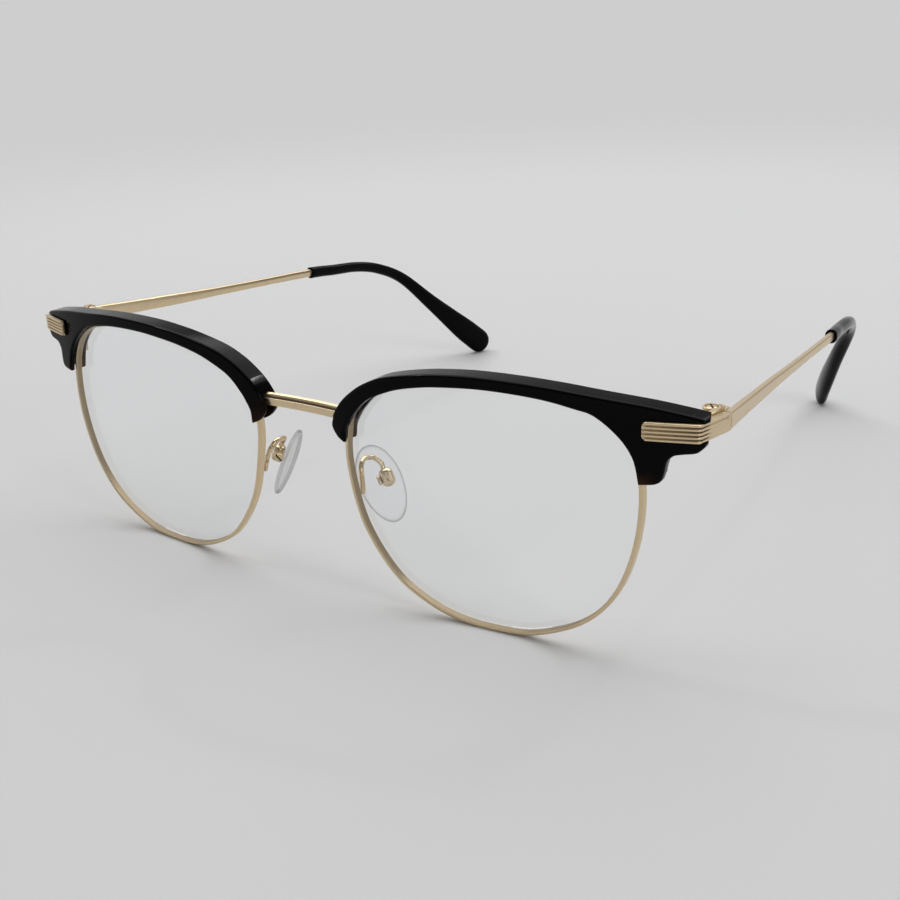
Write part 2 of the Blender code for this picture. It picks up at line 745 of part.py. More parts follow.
def make_lock(side, low, high):
    """One half of the rim lock, between two heights above its foot, shaped to the rim's side."""
    start = LENS_X + LOCK_START_SHARE * HALF_WIDTH
    end = LENS_X + LOCK_END_SHARE * HALF_WIDTH
    front = LEG_FRONT_WALL + SEAT_GAP - BROW_DEPTH / 2
    block = box_mesh(
        (start, lock_foot() + low, front), (end, lock_foot() + high, LUG_FACE - BRAZED_GAP)
    )
    block = cut(block, rim_seat(BRAZED_GAP, 2 * BROW_DEPTH), leg_wall(SEAT_GAP))
    block = laid_on_face(block, 1)
    hole = cylinder_mesh(LOCK_SCREW_RADIUS + SCREW_PLAY, -LOCK_SCREW_LENGTH - SEAT_GAP, OVERRUN)
    return mirrored(cut(block, moved(hole, lock_screw_place())), side)


def make_lock_screw(side):
    screw = screw_mesh(LOCK_SCREW_RADIUS, LOCK_SCREW_HEAD, SCREW_HEAD_HEIGHT, LOCK_SCREW_LENGTH)
    return mirrored(moved(screw, lock_screw_place()), side)


def make_bridge():
    """A bar with a groove along its front, arched a little, whose ends fit the two rims."""
    rise = LENS_Z + BRIDGE_RISE_SHARE * HALF_HEIGHT
    reach = NOSE_GAP / 2 + OVERRUN
    depth = face_y(NOSE_GAP / 2, rise)
    section = [
        (a * BRIDGE_DEPTH, b * BRIDGE_HEIGHT) for a, b in BRIDGE_SECTION_SHARES
    ]
    rings = []
    for step in range(BRIDGE_STEPS + 1):
        share = 2 * step / BRIDGE_STEPS - 1
        lift = BRIDGE_ARCH * (1 - share**2)
        rings.append([Vector((share * reach, depth + a, rise + lift + b)) for a, b in section])
    bar = loft_mesh(rings)
    for side in (1, -1):
        bar = cut(bar, laid_on_face(rim_seat(BRAZED_GAP, 2 * BROW_DEPTH), side))
    return bar


def hinge_half(side, wall, lean, leaf, way, cleared, drop=0.0):
    """Knuckles and leaf: way is -1 for the front half and 1 for the temple's.

    wall is the thickness of what the leaf is brazed to, lean its slope away from the axis,
    cleared lists the heights that the other half's knuckles need, and drop lowers the leaf's top.
    """
    near = HINGE_INSET - wall - BRAZED_GAP
    far = near - lean * leaf
    turn = 2 * math.pi - math.acos((near - LEAF_THICKNESS) / BARREL_RADIUS)
    outline = [Vector((far, -leaf)), Vector((near, 0))]
    for step in range(CIRCLE_STEPS):
        angle = turn * step / (CIRCLE_STEPS - 1)
        outline.append(BARREL_RADIUS * Vector((math.cos(angle), math.sin(angle))))
    outline.append(Vector((far - LEAF_THICKNESS, -leaf)))
    half = outline_mesh(outline, BARREL_HEIGHT)
    half = moved(half, Matrix.Diagonal((1, -way, 1, 1)))
    if way > 0:
        half.flip_normals()
    tools = [cylinder_mesh(BARREL_RADIUS + SEAT_GAP, low, high) for low, high in cleared]
    tools.append(cylinder_mesh(HINGE_SCREW_RADIUS + SCREW_PLAY, -BARREL_HEIGHT, BARREL_HEIGHT))
    tools.append(
        cylinder_mesh(
            HINGE_SCREW_HEAD + SCREW_PLAY, BARREL_HEIGHT / 2 - HINGE_SCREW_RECESS, BARREL_HEIGHT
        )
    )
    if drop:
        low = (-BARREL_HEIGHT, BARREL_RADIUS + SEAT_GAP, BARREL_HEIGHT / 2 - drop)
        tools.append(box_mesh(low, (BARREL_HEIGHT, leaf + OVERRUN, BARREL_HEIGHT)))
    return mirrored(shifted(cut(half, *tools), *HINGE_POINT), side)


def make_hinge_front(side):
    lean = SIDE_SPREAD / (SEAM_Y - corner_y())
    middle = MIDDLE_KNUCKLE / 2 + KNUCKLE_GAP
    return hinge_half(side, SIDE_THICKNESS, lean, FRONT_LEAF, -1, [(-middle, middle)])


def make_hinge_rear(side):
    first, second = TEMPLE_ROUTE_SHARES[:2]
    lean = (second[1] - first[1]) * TEMPLE_TOE_IN / ((second[0] - first[0]) * TEMPLE_RUN)
    middle = MIDDLE_KNUCKLE / 2
    clear = [(middle, BARREL_HEIGHT), (-BARREL_HEIGHT, -middle)]
    return hinge_half(side, TEMPLE_THICKNESS, lean, REAR_LEAF, 1, clear, REAR_LEAF_DROP)


def make_hinge_screw(side):
    length = BARREL_HEIGHT - HINGE_SCREW_RECESS
    screw = screw_mesh(
        HINGE_SCREW_RADIUS, HINGE_SCREW_HEAD, HINGE_SCREW_RECESS - KNUCKLE_GAP, length
    )
    top = HINGE_Z + BARREL_HEIGHT / 2 - HINGE_SCREW_RECESS + KNUCKLE_GAP
    return mirrored(shifted(screw, HINGE_X, HINGE_Y, top), side)


def temple_stations():
    """Rows of (place, point, direction) along the temple's centre line."""
    start = Vector((BROW_END_X - TEMPLE_THICKNESS / 2, SEAM_Y + SEAM_GAP / 2, SEAM_Z))
    drop = SEAM_Z - TIP_END_LIFT
    shares = smooth([Vector(row) for row in TEMPLE_ROUTE_SHARES], ROUTE_STEPS)
    points = [
        start + Vector((-b * TEMPLE_TOE_IN, a * TEMPLE_RUN, -c * drop)) for a, b, c in shares
    ]
    directions = [(after - before).normalized() for before, after in zip(points, points[2:])]
    directions = [Vector((0, 1, 0))] + directions + [(points[-1] - points[-2]).normalized()]
    return list(zip([share.x for share in shares], points, directions))


def section_ring(point, direction, width, height, squareness):
    """A rounded section square to a direction: power 2 is an ellipse, more is squarer."""
    up = (Vector((0, 0, 1)) - direction.z * direction).normalized()
    beside = direction.cross(up)
    ring = []
    for step in range(SECTION_STEPS):
        angle = 2 * math.pi * step / SECTION_STEPS
        a = math.copysign(abs(math.cos(angle)) ** (2 / squareness), math.cos(angle))
        b = math.copysign(abs(math.sin(angle)) ** (2 / squareness), math.sin(angle))
        ring.append(point + width / 2 * a * beside + height / 2 * b * up)
    return ring


def temple_ring(place, point, direction, gap):
    height = TEMPLE_HEIGHT * value_at(TEMPLE_HEIGHT_SHARES, place) + 2 * gap
    width = TEMPLE_THICKNESS * value_at(TEMPLE_THICKNESS_SHARES, place) + 2 * gap
    return section_ring(point, direction, width, height, value_at(TEMPLE_SQUARENESS_SHARES, place))


def make_temple(side):
    rows = [row for row in temple_stations() if row[0] <= CORE_END_SHARE]
    return mirrored(loft_mesh([temple_ring(*row, 0) for row in rows]), side)


def make_tip(side):
    """A sleeve from the end of its bore out to the mouth, back along the outside and round the end."""
    rows = [row for row in temple_stations() if row[0] >= TIP_START_SHARE - WELD_DISTANCE]
    bore = [temple_ring(*row, BORE_GAP) for row in rows if row[0] <= BORE_END_SHARE]
    outside = []
    end_height = 2 * TIP_END_RADIUS
    for place, point, direction in rows:
        share = (place - TIP_START_SHARE) / (1 - TIP_START_SHARE)
        height = TIP_HEIGHT + (end_height - TIP_HEIGHT) * value_at(TIP_HEIGHT_SHARES, share)
        width = TIP_WIDTH + (TIP_END_THICKNESS - TIP_WIDTH) * value_at(TIP_WIDTH_SHARES, share)
        outside.append(section_ring(point, direction, width, height, TIP_SQUARENESS))
    power = 2 / TIP_END_SQUARENESS
    for step in range(1, END_STEPS):
        angle = step / END_STEPS * math.pi / 2
        centre = point + TIP_END_LENGTH * math.sin(angle) ** power * direction
        height = end_height * math.cos(angle) ** power
        width = TIP_END_THICKNESS * math.sqrt(math.cos(angle))
        outside.append(section_ring(centre, direction, width, height, TIP_SQUARENESS))
    return mirrored(loft_mesh(bore[::-1] + outside), side)


def pad_place():
    """The pad's own frame: X along its screw, Y down its length, Z towards the nose."""
    down = -math.sqrt(1 - math.sin(PAD_FLARE) ** 2 - math.sin(PAD_FORWARD) ** 2)
    along = Vector((math.sin(PAD_FLARE), -math.sin(PAD_FORWARD), down))
    inward = Vector((-1, 0, 0))
    inward = (inward - inward.dot(along) * along).normalized()
    facing = math.cos(PAD_SPLAY) * inward + math.sin(PAD_SPLAY) * along.cross(inward)
    beside = along.cross(facing)
    point = Vector((NOSE_GAP / 2 + PAD_OUTSET, LENS_Y + PAD_SETBACK, LENS_Z - PAD_DROP))
    point += PAD_ASIDE * beside
    turn = Matrix((beside, along, facing)).transposed()
    return Matrix.Translation(point) @ turn.to_4x4()


def box_front():
    return -PAD_THICKNESS / 2 - PAD_GAP


def pivot_local():
    return Vector((0, -BOX_LIFT, box_front() - PIVOT_DEPTH))


def make_nose_pad(side):
    """A flattened oval with a pierced stem that stands in the box."""
    form = bmesh.new()
    bmesh.ops.create_uvsphere(
        form, u_segments=CIRCLE_STEPS, v_segments=SECTION_STEPS, radius=1
    )
    for vertex in form.verts:
        x, y, z = vertex.co
        half_width = (1 + PAD_TAPER_SHARE * y) * PAD_WIDTH / 2
        z = math.copysign(abs(z) ** PAD_FLATNESS, z)
        vertex.co = (x * half_width - PAD_ASIDE, y * PAD_LENGTH / 2, z * PAD_THICKNESS / 2)
    pad = finished(form)
    pivot = pivot_local()
    stem = box_mesh(
        (-STEM_WIDTH / 2, pivot.y - STEM_LENGTH / 2, pivot.z - STEM_END),
        (STEM_WIDTH / 2, pivot.y + STEM_LENGTH / 2, 0),
    )
    return mirrored(moved(cut(joined(pad, stem, "UNION"), pad_bore()), pad_place()), side)


def pad_bore():
    """The hole for the pad's screw, through box and stem."""
    bore = cylinder_mesh(PAD_SCREW_RADIUS + SCREW_PLAY, -BOX_WIDTH, BOX_WIDTH)
    return moved(bore, turned_to(Vector((1, 0, 0)), pivot_local()))


def make_pad_box(side):
    half_width = BOX_WIDTH / 2
    half_length = BOX_LENGTH / 2
    outline = [
        Vector((-half_width, -half_length)), Vector((half_width, -half_length)),
        Vector((half_width, half_length)), Vector((-half_width, half_length)),
    ]
    box = outline_mesh(outline, BOX_DEPTH, BOX_EDGE)
    box = shifted(box, 0, -BOX_LIFT, box_front() - BOX_DEPTH / 2)
    pocket = box_mesh(
        (-POCKET_WIDTH / 2, -BOX_LIFT - POCKET_LENGTH / 2, box_front() - POCKET_DEPTH),
        (POCKET_WIDTH / 2, -BOX_LIFT + POCKET_LENGTH / 2, 0),
    )
    return mirrored(moved(cut(box, pocket, pad_bore()), pad_place()), side)


def make_pad_screw(side):
    length = BOX_WIDTH + BRAZED_GAP
    screw = screw_mesh(PAD_SCREW_RADIUS, PAD_SCREW_HEAD, SCREW_HEAD_HEIGHT, length)
    seat = pivot_local() - Vector((BOX_WIDTH / 2 + BRAZED_GAP, 0, 0))
    place = pad_place() @ turned_to(Vector((-1, 0, 0)), seat)
    return mirrored(moved(screw, place), side)


def make_guard_arm(side):
    """A wire brazed to the back of the rim, which loops up and back and down into the box."""
    height = LENS_Z + ARM_FOOT_SHARE * HALF_HEIGHT
    nasal = sorted((point.y, point.x) for point in rim_path() if point.x < LENS_X)
    foot = Vector((value_at(nasal, height), height))
    depth = face_y(*foot) + RIM_DEPTH / 2 + BRAZED_GAP + ARM_RADIUS
    start = Vector((foot.x, depth, foot.y))
    reach = Vector((-ARM_BOW, ARM_REACH, ARM_RISE))
    route = [start + Vector(row) * reach for row in ARM_ROUTE_SHARES]
    top = Vector((0, -BOX_LIFT - BOX_LENGTH / 2 - BRAZED_GAP, box_front() - BOX_DEPTH / 2))
    route.append(pad_place() @ (top - Vector((0, ARM_LEAD, 0))))
    line = smooth(route, WIRE_STEPS) + [pad_place() @ top]
    return mirrored(tube_mesh(line, ARM_RADIUS), side)


def clear_scene():
    for thing in list(bpy.data.objects):
        bpy.data.objects.remove(thing)


clear_scene()
PARTS = new_collection("eyeglass_frame")
FRONT = add_carrier("front", Vector((0, 0, 0)))
METAL = make_material("champagne_metal", (0.48, 0.38, 0.26), 0.32, metallic=1.0)
ACETATE = make_material("black_acetate", (0.004, 0.003, 0.003), 0.12)
CLEAR = make_material("clear_lens", (0.95, 0.97, 0.97), 0.03, transmission=1.0)
SOFT = make_material("clear_pad", (0.82, 0.83, 0.83), 0.25, transmission=0.7)

add_piece("bridge", make_bridge(), METAL, FRONT)
for SIDE, WORD in ((1, "left"), (-1, "right")):
    HINGE = add_carrier(WORD + "_hinge_axis", Matrix.Diagonal((SIDE, 1, 1)) @ HINGE_POINT)
    PIVOT = pad_place() @ pivot_local()
    PAD_AXIS = add_carrier(WORD + "_pad_axis", Matrix.Diagonal((SIDE, 1, 1)) @ PIVOT)
    SPLIT = LOCK_HEIGHT / 2
    add_piece(WORD + "_rim", make_rim(SIDE), METAL, FRONT)
    add_piece(WORD + "_lens", make_lens(SIDE), CLEAR, FRONT)
    add_piece(WORD + "_brow", make_brow(SIDE), ACETATE, FRONT)
    add_piece(WORD + "_brow_screw", make_brow_screw(SIDE), METAL, FRONT)
    add_piece(WORD + "_end_piece", make_end_piece(SIDE), METAL, FRONT)
    add_piece(WORD + "_lock_lower", make_lock(SIDE, 0, SPLIT - RIM_SPLIT / 2), METAL, FRONT)
    add_piece(
        WORD + "_lock_upper", make_lock(SIDE, SPLIT + RIM_SPLIT / 2, LOCK_HEIGHT), METAL, FRONT
    )
    add_piece(WORD + "_lock_screw", make_lock_screw(SIDE), METAL, FRONT)
    add_piece(WORD + "_hinge_front", make_hinge_front(SIDE), METAL, FRONT)
    add_piece(WORD + "_hinge_screw", make_hinge_screw(SIDE), METAL, FRONT)
    add_piece(WORD + "_hinge_rear", make_hinge_rear(SIDE), METAL, HINGE)
    add_piece(WORD + "_temple", make_temple(SIDE), METAL, HINGE)
    add_piece(WORD + "_temple_tip", make_tip(SIDE), ACETATE, HINGE)
    add_piece(WORD + "_guard_arm", make_guard_arm(SIDE), METAL, FRONT)
    add_piece(WORD + "_pad_box", make_pad_box(SIDE), METAL, FRONT)
    add_piece(WORD + "_pad_screw", make_pad_screw(SIDE), METAL, FRONT)
    add_piece(WORD + "_nose_pad", make_nose_pad(SIDE), SOFT, PAD_AXIS)
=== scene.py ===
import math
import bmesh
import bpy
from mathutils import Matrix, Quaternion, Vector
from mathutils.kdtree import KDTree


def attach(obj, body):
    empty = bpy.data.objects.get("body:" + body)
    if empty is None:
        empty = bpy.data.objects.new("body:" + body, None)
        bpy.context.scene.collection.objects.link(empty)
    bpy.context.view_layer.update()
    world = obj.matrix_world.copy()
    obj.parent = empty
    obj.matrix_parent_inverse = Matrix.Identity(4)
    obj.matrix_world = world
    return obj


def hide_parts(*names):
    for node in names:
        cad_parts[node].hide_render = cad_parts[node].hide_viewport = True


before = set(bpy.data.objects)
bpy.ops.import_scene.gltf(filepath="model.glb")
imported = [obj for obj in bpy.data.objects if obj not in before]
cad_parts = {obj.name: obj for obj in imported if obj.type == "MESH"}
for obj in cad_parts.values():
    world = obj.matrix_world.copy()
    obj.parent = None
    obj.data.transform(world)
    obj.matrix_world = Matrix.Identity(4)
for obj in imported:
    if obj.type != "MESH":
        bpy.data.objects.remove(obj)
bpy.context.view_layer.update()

# %% [markdown]
# # A browline eyeglass frame
# Two thin metal rims carry glossy acetate brows. A ribbed metal plate bends round each brow's end
# to the hinge of a slim metal temple, whose end wears an acetate tip. The CAD solids fix where
# every piece goes. This lesson builds the smooth pieces that stand for them, at the same places
# and sizes, then their finishes, and last the table and the lamps.

# %% [markdown]
# ## The face curve
# A frame's front isn't flat. Each lens lies on a shallow bowl, so everything on the front can be
# drawn flat, as an optician sees it, and then bent back onto the bowl. That keeps the drawing
# simple and makes rim, lens and brow agree. All lengths are metres, as in the CAD.

# %% Sizes of the front
LENS_WIDTH = 0.0520
LENS_HEIGHT = 0.0427
NOSE_GAP = 0.01954
FACE_RADIUS = 0.1256
FACE_WRAP = math.radians(4.52)
FACE_TILT = math.radians(-1.47)
LENS_THICKNESS = 0.0014
RIM_WIDTH = 0.00070
RIM_DEPTH = 0.00150
RIM_EDGE = 0.00022
GROOVE_REACH = 0.00013
SEAT_GAP = 0.00015
BRAZED_GAP = 0.00012
OVERRUN = 0.0010
WELD = 0.000001
HALF_WIDTH = LENS_WIDTH / 2
HALF_HEIGHT = LENS_HEIGHT / 2
LENS_X = NOSE_GAP / 2 + HALF_WIDTH
LENS_Z = HALF_HEIGHT + RIM_WIDTH / 2

BROW_END_SHARE = 1.355
PLATE_RISE_SHARE = 0.838
END_ACROSS = BROW_END_SHARE * HALF_WIDTH
END_UP = PLATE_RISE_SHARE * HALF_HEIGHT
END_BOWL = (END_ACROSS**2 + END_UP**2) / (2 * FACE_RADIUS)
END_SETBACK = END_ACROSS * math.tan(FACE_WRAP) + END_UP * math.tan(FACE_TILT) + END_BOWL
FRONT_REACH = 0.00135
HINGE_BEHIND = 0.00641
HINGE_SETBACK = END_SETBACK + HINGE_BEHIND
TEMPLE_REACH = 0.12783
LENS_Y = FRONT_REACH - (FRONT_REACH + HINGE_SETBACK + TEMPLE_REACH) / 2
print("lens centre in mm:", [round(1000 * part, 2) for part in (LENS_X, LENS_Y, LENS_Z)])


# %% Bending the flat drawing onto the bowl
def face_y(x, z):
    across = abs(x) - LENS_X
    up = z - LENS_Z
    bowl = (across**2 + up**2) / (2 * FACE_RADIUS)
    return LENS_Y + across * math.tan(FACE_WRAP) + up * math.tan(FACE_TILT) + bowl


def front_points(shares):
    return [Vector((LENS_X + a * HALF_WIDTH, LENS_Z + b * HALF_HEIGHT)) for a, b in shares]


def laid_on_face(mesh, side):
    for vertex in mesh.vertices:
        x, y, z = vertex.co
        vertex.co = (side * x, face_y(x, y) + z, y)
    return turned_out(mesh)


def poured(form, mesh):
    """Writes a worked form into a mesh and lets the form go."""
    form.to_mesh(mesh)
    form.free()
    return mesh


def turned_out(mesh):
    """Faces that point outwards, whatever mirroring came before."""
    form = bmesh.new()
    form.from_mesh(mesh)
    bmesh.ops.remove_doubles(form, verts=form.verts, dist=WELD)
    bmesh.ops.recalc_face_normals(form, faces=form.faces)
    return poured(form, mesh)


# %% [markdown]
# ## Smooth curves from a few points
# A designer gives a rim's outline as a few points and lets a curve run through them. A
# Catmull-Rom curve does that, and more steps between points only make it smoother.

# %% Curves, lofts and outlines
def curve_through(points, steps, closed=False):
    count = len(points)
    result = []
    for span in range(count if closed else count - 1):
        places = [span - 1, span, span + 1, span + 2]
        if closed:
            places = [place % count for place in places]
        else:
            places = [min(max(place, 0), count - 1) for place in places]
        before, start, end, after = (points[place] for place in places)
        for step in range(steps):
            t = step / steps
            bend = 2 * before - 5 * start + 4 * end - after
            twist = 3 * (start - end) + after - before
            result.append(start + t / 2 * (end - before + t * (bend + t * twist)))
    return result if closed else result + [points[-1]]


def value_at(table, place):
    for (low, first), (high, second) in zip(table, table[1:]):
        if place <= high:
            t = (place - low) / (high - low)
            return first + (second - first) * t
    return table[-1][1]


def anticlockwise(points):
    """The same closed outline, turned round if it runs clockwise."""
    area = sum(a.x * b.y - b.x * a.y for a, b in zip(points, points[1:] + points[:1]))
    return points[::-1] if area < 0 else points


def offset(points, distance):
    moved = []
    for index, point in enumerate(points):
        along = points[(index + 1) % len(points)] - points[index - 1]
        moved.append(point + distance * Vector((along.y, -along.x)).normalized())
    return moved


def loft(rings):
    """Skins rings of equal numbers of points and closes both ends."""
    form = bmesh.new()
    rows = [[form.verts.new(point) for point in ring] for ring in rings]
    for first, second in zip(rows, rows[1:]):
        for index in range(len(first)):
            after = (index + 1) % len(first)
            form.faces.new((first[index], first[after], second[after], second[index]))
    form.faces.new(rows[0])
    form.faces.new(rows[-1])
    bmesh.ops.recalc_face_normals(form, faces=form.faces)
    return poured(form, bpy.data.meshes.new("loft"))


def line_curve(paths, closed=False, flat=False):
    """A curve object of straight-edged splines, one for each path."""
    curve = bpy.data.curves.new("path", "CURVE")
    curve.dimensions = "2D" if flat else "3D"
    for path in paths:
        spline = curve.splines.new("POLY")
        spline.points.add(len(path) - 1)
        for spot, point in zip(spline.points, path):
            spot.co = (*point, 0, 1) if len(point) == 2 else (*point, 1)
        spline.use_cyclic_u = closed
    return linked("path", curve)


def linked(name, data):
    thing = bpy.data.objects.new(name, data)
    bpy.context.scene.collection.objects.link(thing)
    return thing


def baked(thing, *helpers):
    """The mesh that an object shows with its modifiers; the object and its helpers go."""
    bpy.context.view_layer.update()
    graph = bpy.context.evaluated_depsgraph_get()
    mesh = bpy.data.meshes.new_from_object(thing.evaluated_get(graph))
    for used in (thing, *helpers):
        bpy.data.objects.remove(used)
    return mesh


def outlined(points, depth, rounding=0.0, rings=3):
    """A flat outline in X and Y with a depth along Z and rounded edges."""
    thing = line_curve([points], closed=True, flat=True)
    curve = thing.data
    curve.fill_mode = "BOTH"
    curve.extrude = depth / 2 - rounding
    curve.bevel_depth = rounding
    curve.bevel_resolution = rings
    curve.offset = -rounding
    return turned_out(baked(thing))


def carved(mesh, tools, operation="DIFFERENCE"):
    for tool in tools:
        body, other = linked("body", mesh), linked("tool", tool)
        boolean = body.modifiers.new("boolean", "BOOLEAN")
        boolean.operation = operation
        boolean.solver = "EXACT"
        boolean.object = other
        mesh = baked(body, other)
    return mesh


def moved(mesh, matrix):
    mesh.transform(matrix)
    return mesh


def shifted(mesh, x, y, z):
    return moved(mesh, Matrix.Translation((x, y, z)))


def mirrored(mesh, side):
    return turned_out(moved(mesh, Matrix.Diagonal((side, 1, 1, 1))))


def box(low, high):
    form = bmesh.new()
    bmesh.ops.create_cube(form, size=1.0)
    size = Vector(high) - Vector(low)
    middle = (Vector(high) + Vector(low)) / 2
    place = Matrix.Translation(middle) @ Matrix.Diagonal((*size, 1))
    bmesh.ops.transform(form, matrix=place, verts=form.verts)
    return poured(form, bpy.data.meshes.new("box"))


def rod(radius, low, high, steps=48):
    form = bmesh.new()
    bmesh.ops.create_cone(
        form, cap_ends=True, segments=steps, radius1=radius, radius2=radius, depth=high - low
    )
    bmesh.ops.translate(form, vec=(0, 0, (low + high) / 2), verts=form.verts)
    return poured(form, bpy.data.meshes.new("rod"))


def marked(mesh, name, values):
    """Gives each point of a mesh its value of an attribute that a finish reads."""
    marks = mesh.attributes.new(name, "FLOAT", "POINT")
    for mark, value in zip(marks.data, values):
        mark.value = value
    return mesh


def turned_to(direction, point):
    """The matrix that lays Z along a direction at a point."""
    return Matrix.Translation(point) @ direction.to_track_quat("Z", "Y").to_matrix().to_4x4()


# %% [markdown]
# ## A short way to write node trees
# Shader maths reads best as an expression. A small class wraps a socket, so that `1 - mask`
# adds its Math node by itself, and one method makes any other node from its type, its settings
# and what its sockets get. The same class writes the Geometry Nodes trees.

# %% Sockets that add up
class Wire:
    def __init__(self, tree, node, out=0):
        self.tree, self.node = tree, node
        self.socket = node.outputs[out] if node.outputs else None

    def out(self, name):
        return Wire(self.tree, self.node, name)

    def maths(self, operation, *values):
        sockets = dict(enumerate(values))
        return self.tree.add("ShaderNodeMath", {"operation": operation}, sockets)

    def __add__(self, other):
        return self.maths("ADD", self, other)

    def __rsub__(self, other):
        return self.maths("SUBTRACT", other, self)

    def __mul__(self, other):
        return self.maths("MULTIPLY", self, other)

    __radd__ = __add__
    __rmul__ = __mul__

    def absolute(self):
        return self.maths("ABSOLUTE", self)

    def clamped(self):
        return self.tree.add("ShaderNodeClamp", {}, {"Value": self})


class Nodes:
    def __init__(self, tree):
        self.tree = tree
        tree.nodes.clear()

    def add(self, kind, settings=None, sockets=None, out=0):
        node = self.tree.nodes.new(kind)
        for name, value in (settings or {}).items():
            setattr(node, name, value)
        for name, value in (sockets or {}).items():
            if isinstance(value, Wire):
                self.tree.links.new(value.socket, node.inputs[name])
            else:
                node.inputs[name].default_value = value
        return Wire(self, node, out)

    def ramp(self, value, low, high):
        """A smooth rise from 0 at one value to 1 at another."""
        values = {"Value": value, "From Min": low, "From Max": high}
        return self.add("ShaderNodeMapRange", {"interpolation_type": "SMOOTHSTEP"}, values)

    def mark(self, name):
        """A number that the piece's points carry."""
        return self.add("ShaderNodeAttribute", {"attribute_name": name}).out("Fac")

    def noise(self, where, scale, detail=3.0, roughness=0.5):
        values = {"Vector": where, "Scale": scale, "Detail": detail, "Roughness": roughness}
        return self.add("ShaderNodeTexNoise", {}, values)

    def blend(self, mask, first, second):
        """Mixes two colours by a number. A Mix node's colours are its inputs 6 and 7."""
        pair = [part if isinstance(part, Wire) else (*part, 1) for part in (first, second)]
        sockets = {0: mask, 6: pair[0], 7: pair[1]}
        return self.add("ShaderNodeMix", {"data_type": "RGBA"}, sockets, out=2)

    def bump(self, height, distance, strength):
        values = {"Height": height, "Distance": distance, "Strength": strength}
        return self.add("ShaderNodeBump", {}, values)

    def place(self):
        """Where a spot lies on the whole object, in metres."""
        return self.add("ShaderNodeTexCoord").out("Object")

    def show(self, shader):
        self.add("ShaderNodeOutputMaterial", {}, {"Surface": shader})

    def show_surface(self, sockets):
        self.show(self.add("ShaderNodeBsdfPrincipled", {}, sockets))

    def show_mix(self, share, first, second):
        """Shows one shader, and as much of a second as the share says."""
        shaders = {0: share.clamped(), 1: first, 2: second}
        self.show(self.add("ShaderNodeMixShader", {}, shaders))


def new_finish(name):
    material = bpy.data.materials.new(name)
    material.use_nodes = True
    return material, Nodes(material.node_tree)


# %% [markdown]
# ## The metal
# The rims, bridge and temples are plated in a pale champagne gold with a satin polish. A colour
# with no detail would look like plastic, so the plating varies slowly in warmth and in polish,
# and a fine grain breaks up its reflections. Painted shade darkens the plating where shade falls:
# in grooves and screw slots, along the rim's inner side and along the temple's shoulders, and a
# point attribute says how much. The small fittings are polished brighter and pitted, and the
# hidden rim locks take painted shade all over, as they sit behind the brow's leg.

# %% Champagne plating
DEEP_GOLD = (0.690, 0.545, 0.340)
PALE_GOLD = (0.750, 0.605, 0.395)
# The dark brown of painted shade and of pits.
SHADE_AND_PIT_BROWN = (0.055, 0.029, 0.014)
SATIN, POLISH = 0.28, 0.14
SATIN_GRAIN, POLISH_GRAIN = 9000, 1900
SATIN_RELIEF, POLISH_RELIEF = 0.0000012, 0.00025
PITTED, LOCK_PAINTED_SHADE = 0.50, 0.62


def make_champagne(name, gloss, grain, relief, worn=0.0, pitted=0.0):
    material, nodes = new_finish(name)
    where = nodes.place()
    cloud = nodes.noise(where, 90, 2.0)
    fine = nodes.noise(where, grain, 4.0, 0.6)
    # The point attribute brings painted shade, and the pitted finish adds dark pits.
    painted_shade_and_pits = nodes.mark("painted_shade_and_pits") + worn + pitted * nodes.ramp(fine, 0.50, 0.64)
    painted_shade_and_pits = painted_shade_and_pits.clamped()
    warm = nodes.blend(cloud, DEEP_GOLD, PALE_GOLD)
    nodes.show_surface({
        "Base Color": nodes.blend(painted_shade_and_pits, warm, SHADE_AND_PIT_BROWN),
        "Metallic": 1.0 - 0.55 * painted_shade_and_pits,
        "Roughness": gloss - 0.05 + 0.08 * cloud + 0.03 * fine + 0.25 * painted_shade_and_pits,
        "Normal": nodes.bump(fine, relief, 0.25),
    })
    return material


champagne = make_champagne("champagne_plating", SATIN, SATIN_GRAIN, SATIN_RELIEF)
polished = make_champagne(
    "polished_fittings", POLISH, POLISH_GRAIN, POLISH_RELIEF, pitted=PITTED
)
# The rim locks sit in shade behind the brow's leg, so their plating is darkened all over with painted
# shade.
shaded_locks_finish = make_champagne("painted_shade_locks", SATIN, SATIN_GRAIN, SATIN_RELIEF, worn=LOCK_PAINTED_SHADE)
print("metal finishes:", champagne.name, polished.name, shaded_locks_finish.name)

# %% [markdown]
# ## The acetate
# The brows and tips are cut from acetate sheet so dark that it passes for black, with faint
# reddish brown patches. Where a thin end would let light through, a deep reddish brown glow is
# painted into the colour in soft patches. The painted glow fades in by height and by distance from
# the middle, so that it keeps to each brow's leg and nasal end. The pattern is a stretched noise on
# Object coordinates, so that it runs through the piece as it does in sheet stock. The surface is
# tumbled to a high gloss, with very faint waves.

# %% Dark acetate
NEAR_BLACK = (0.0012, 0.0010, 0.0010)
RED_BROWN = (0.068, 0.0200, 0.0095)
# Where the painted glow of light through thin acetate shows: limits in height, side and depth.
FRONT_FROM, FRONT_TO = -0.050, -0.055
LEG_TOP, LEG_FOOT = 0.0332, 0.0298
LEG_SIDES = ((0.0650, 0.0612), (0.030, 0.040))
NOSE_TOP, NOSE_FOOT = 0.0340, 0.0300
NOSE_SIDE = (0.0140, 0.0110)
WAVE_RELIEF = 0.00004


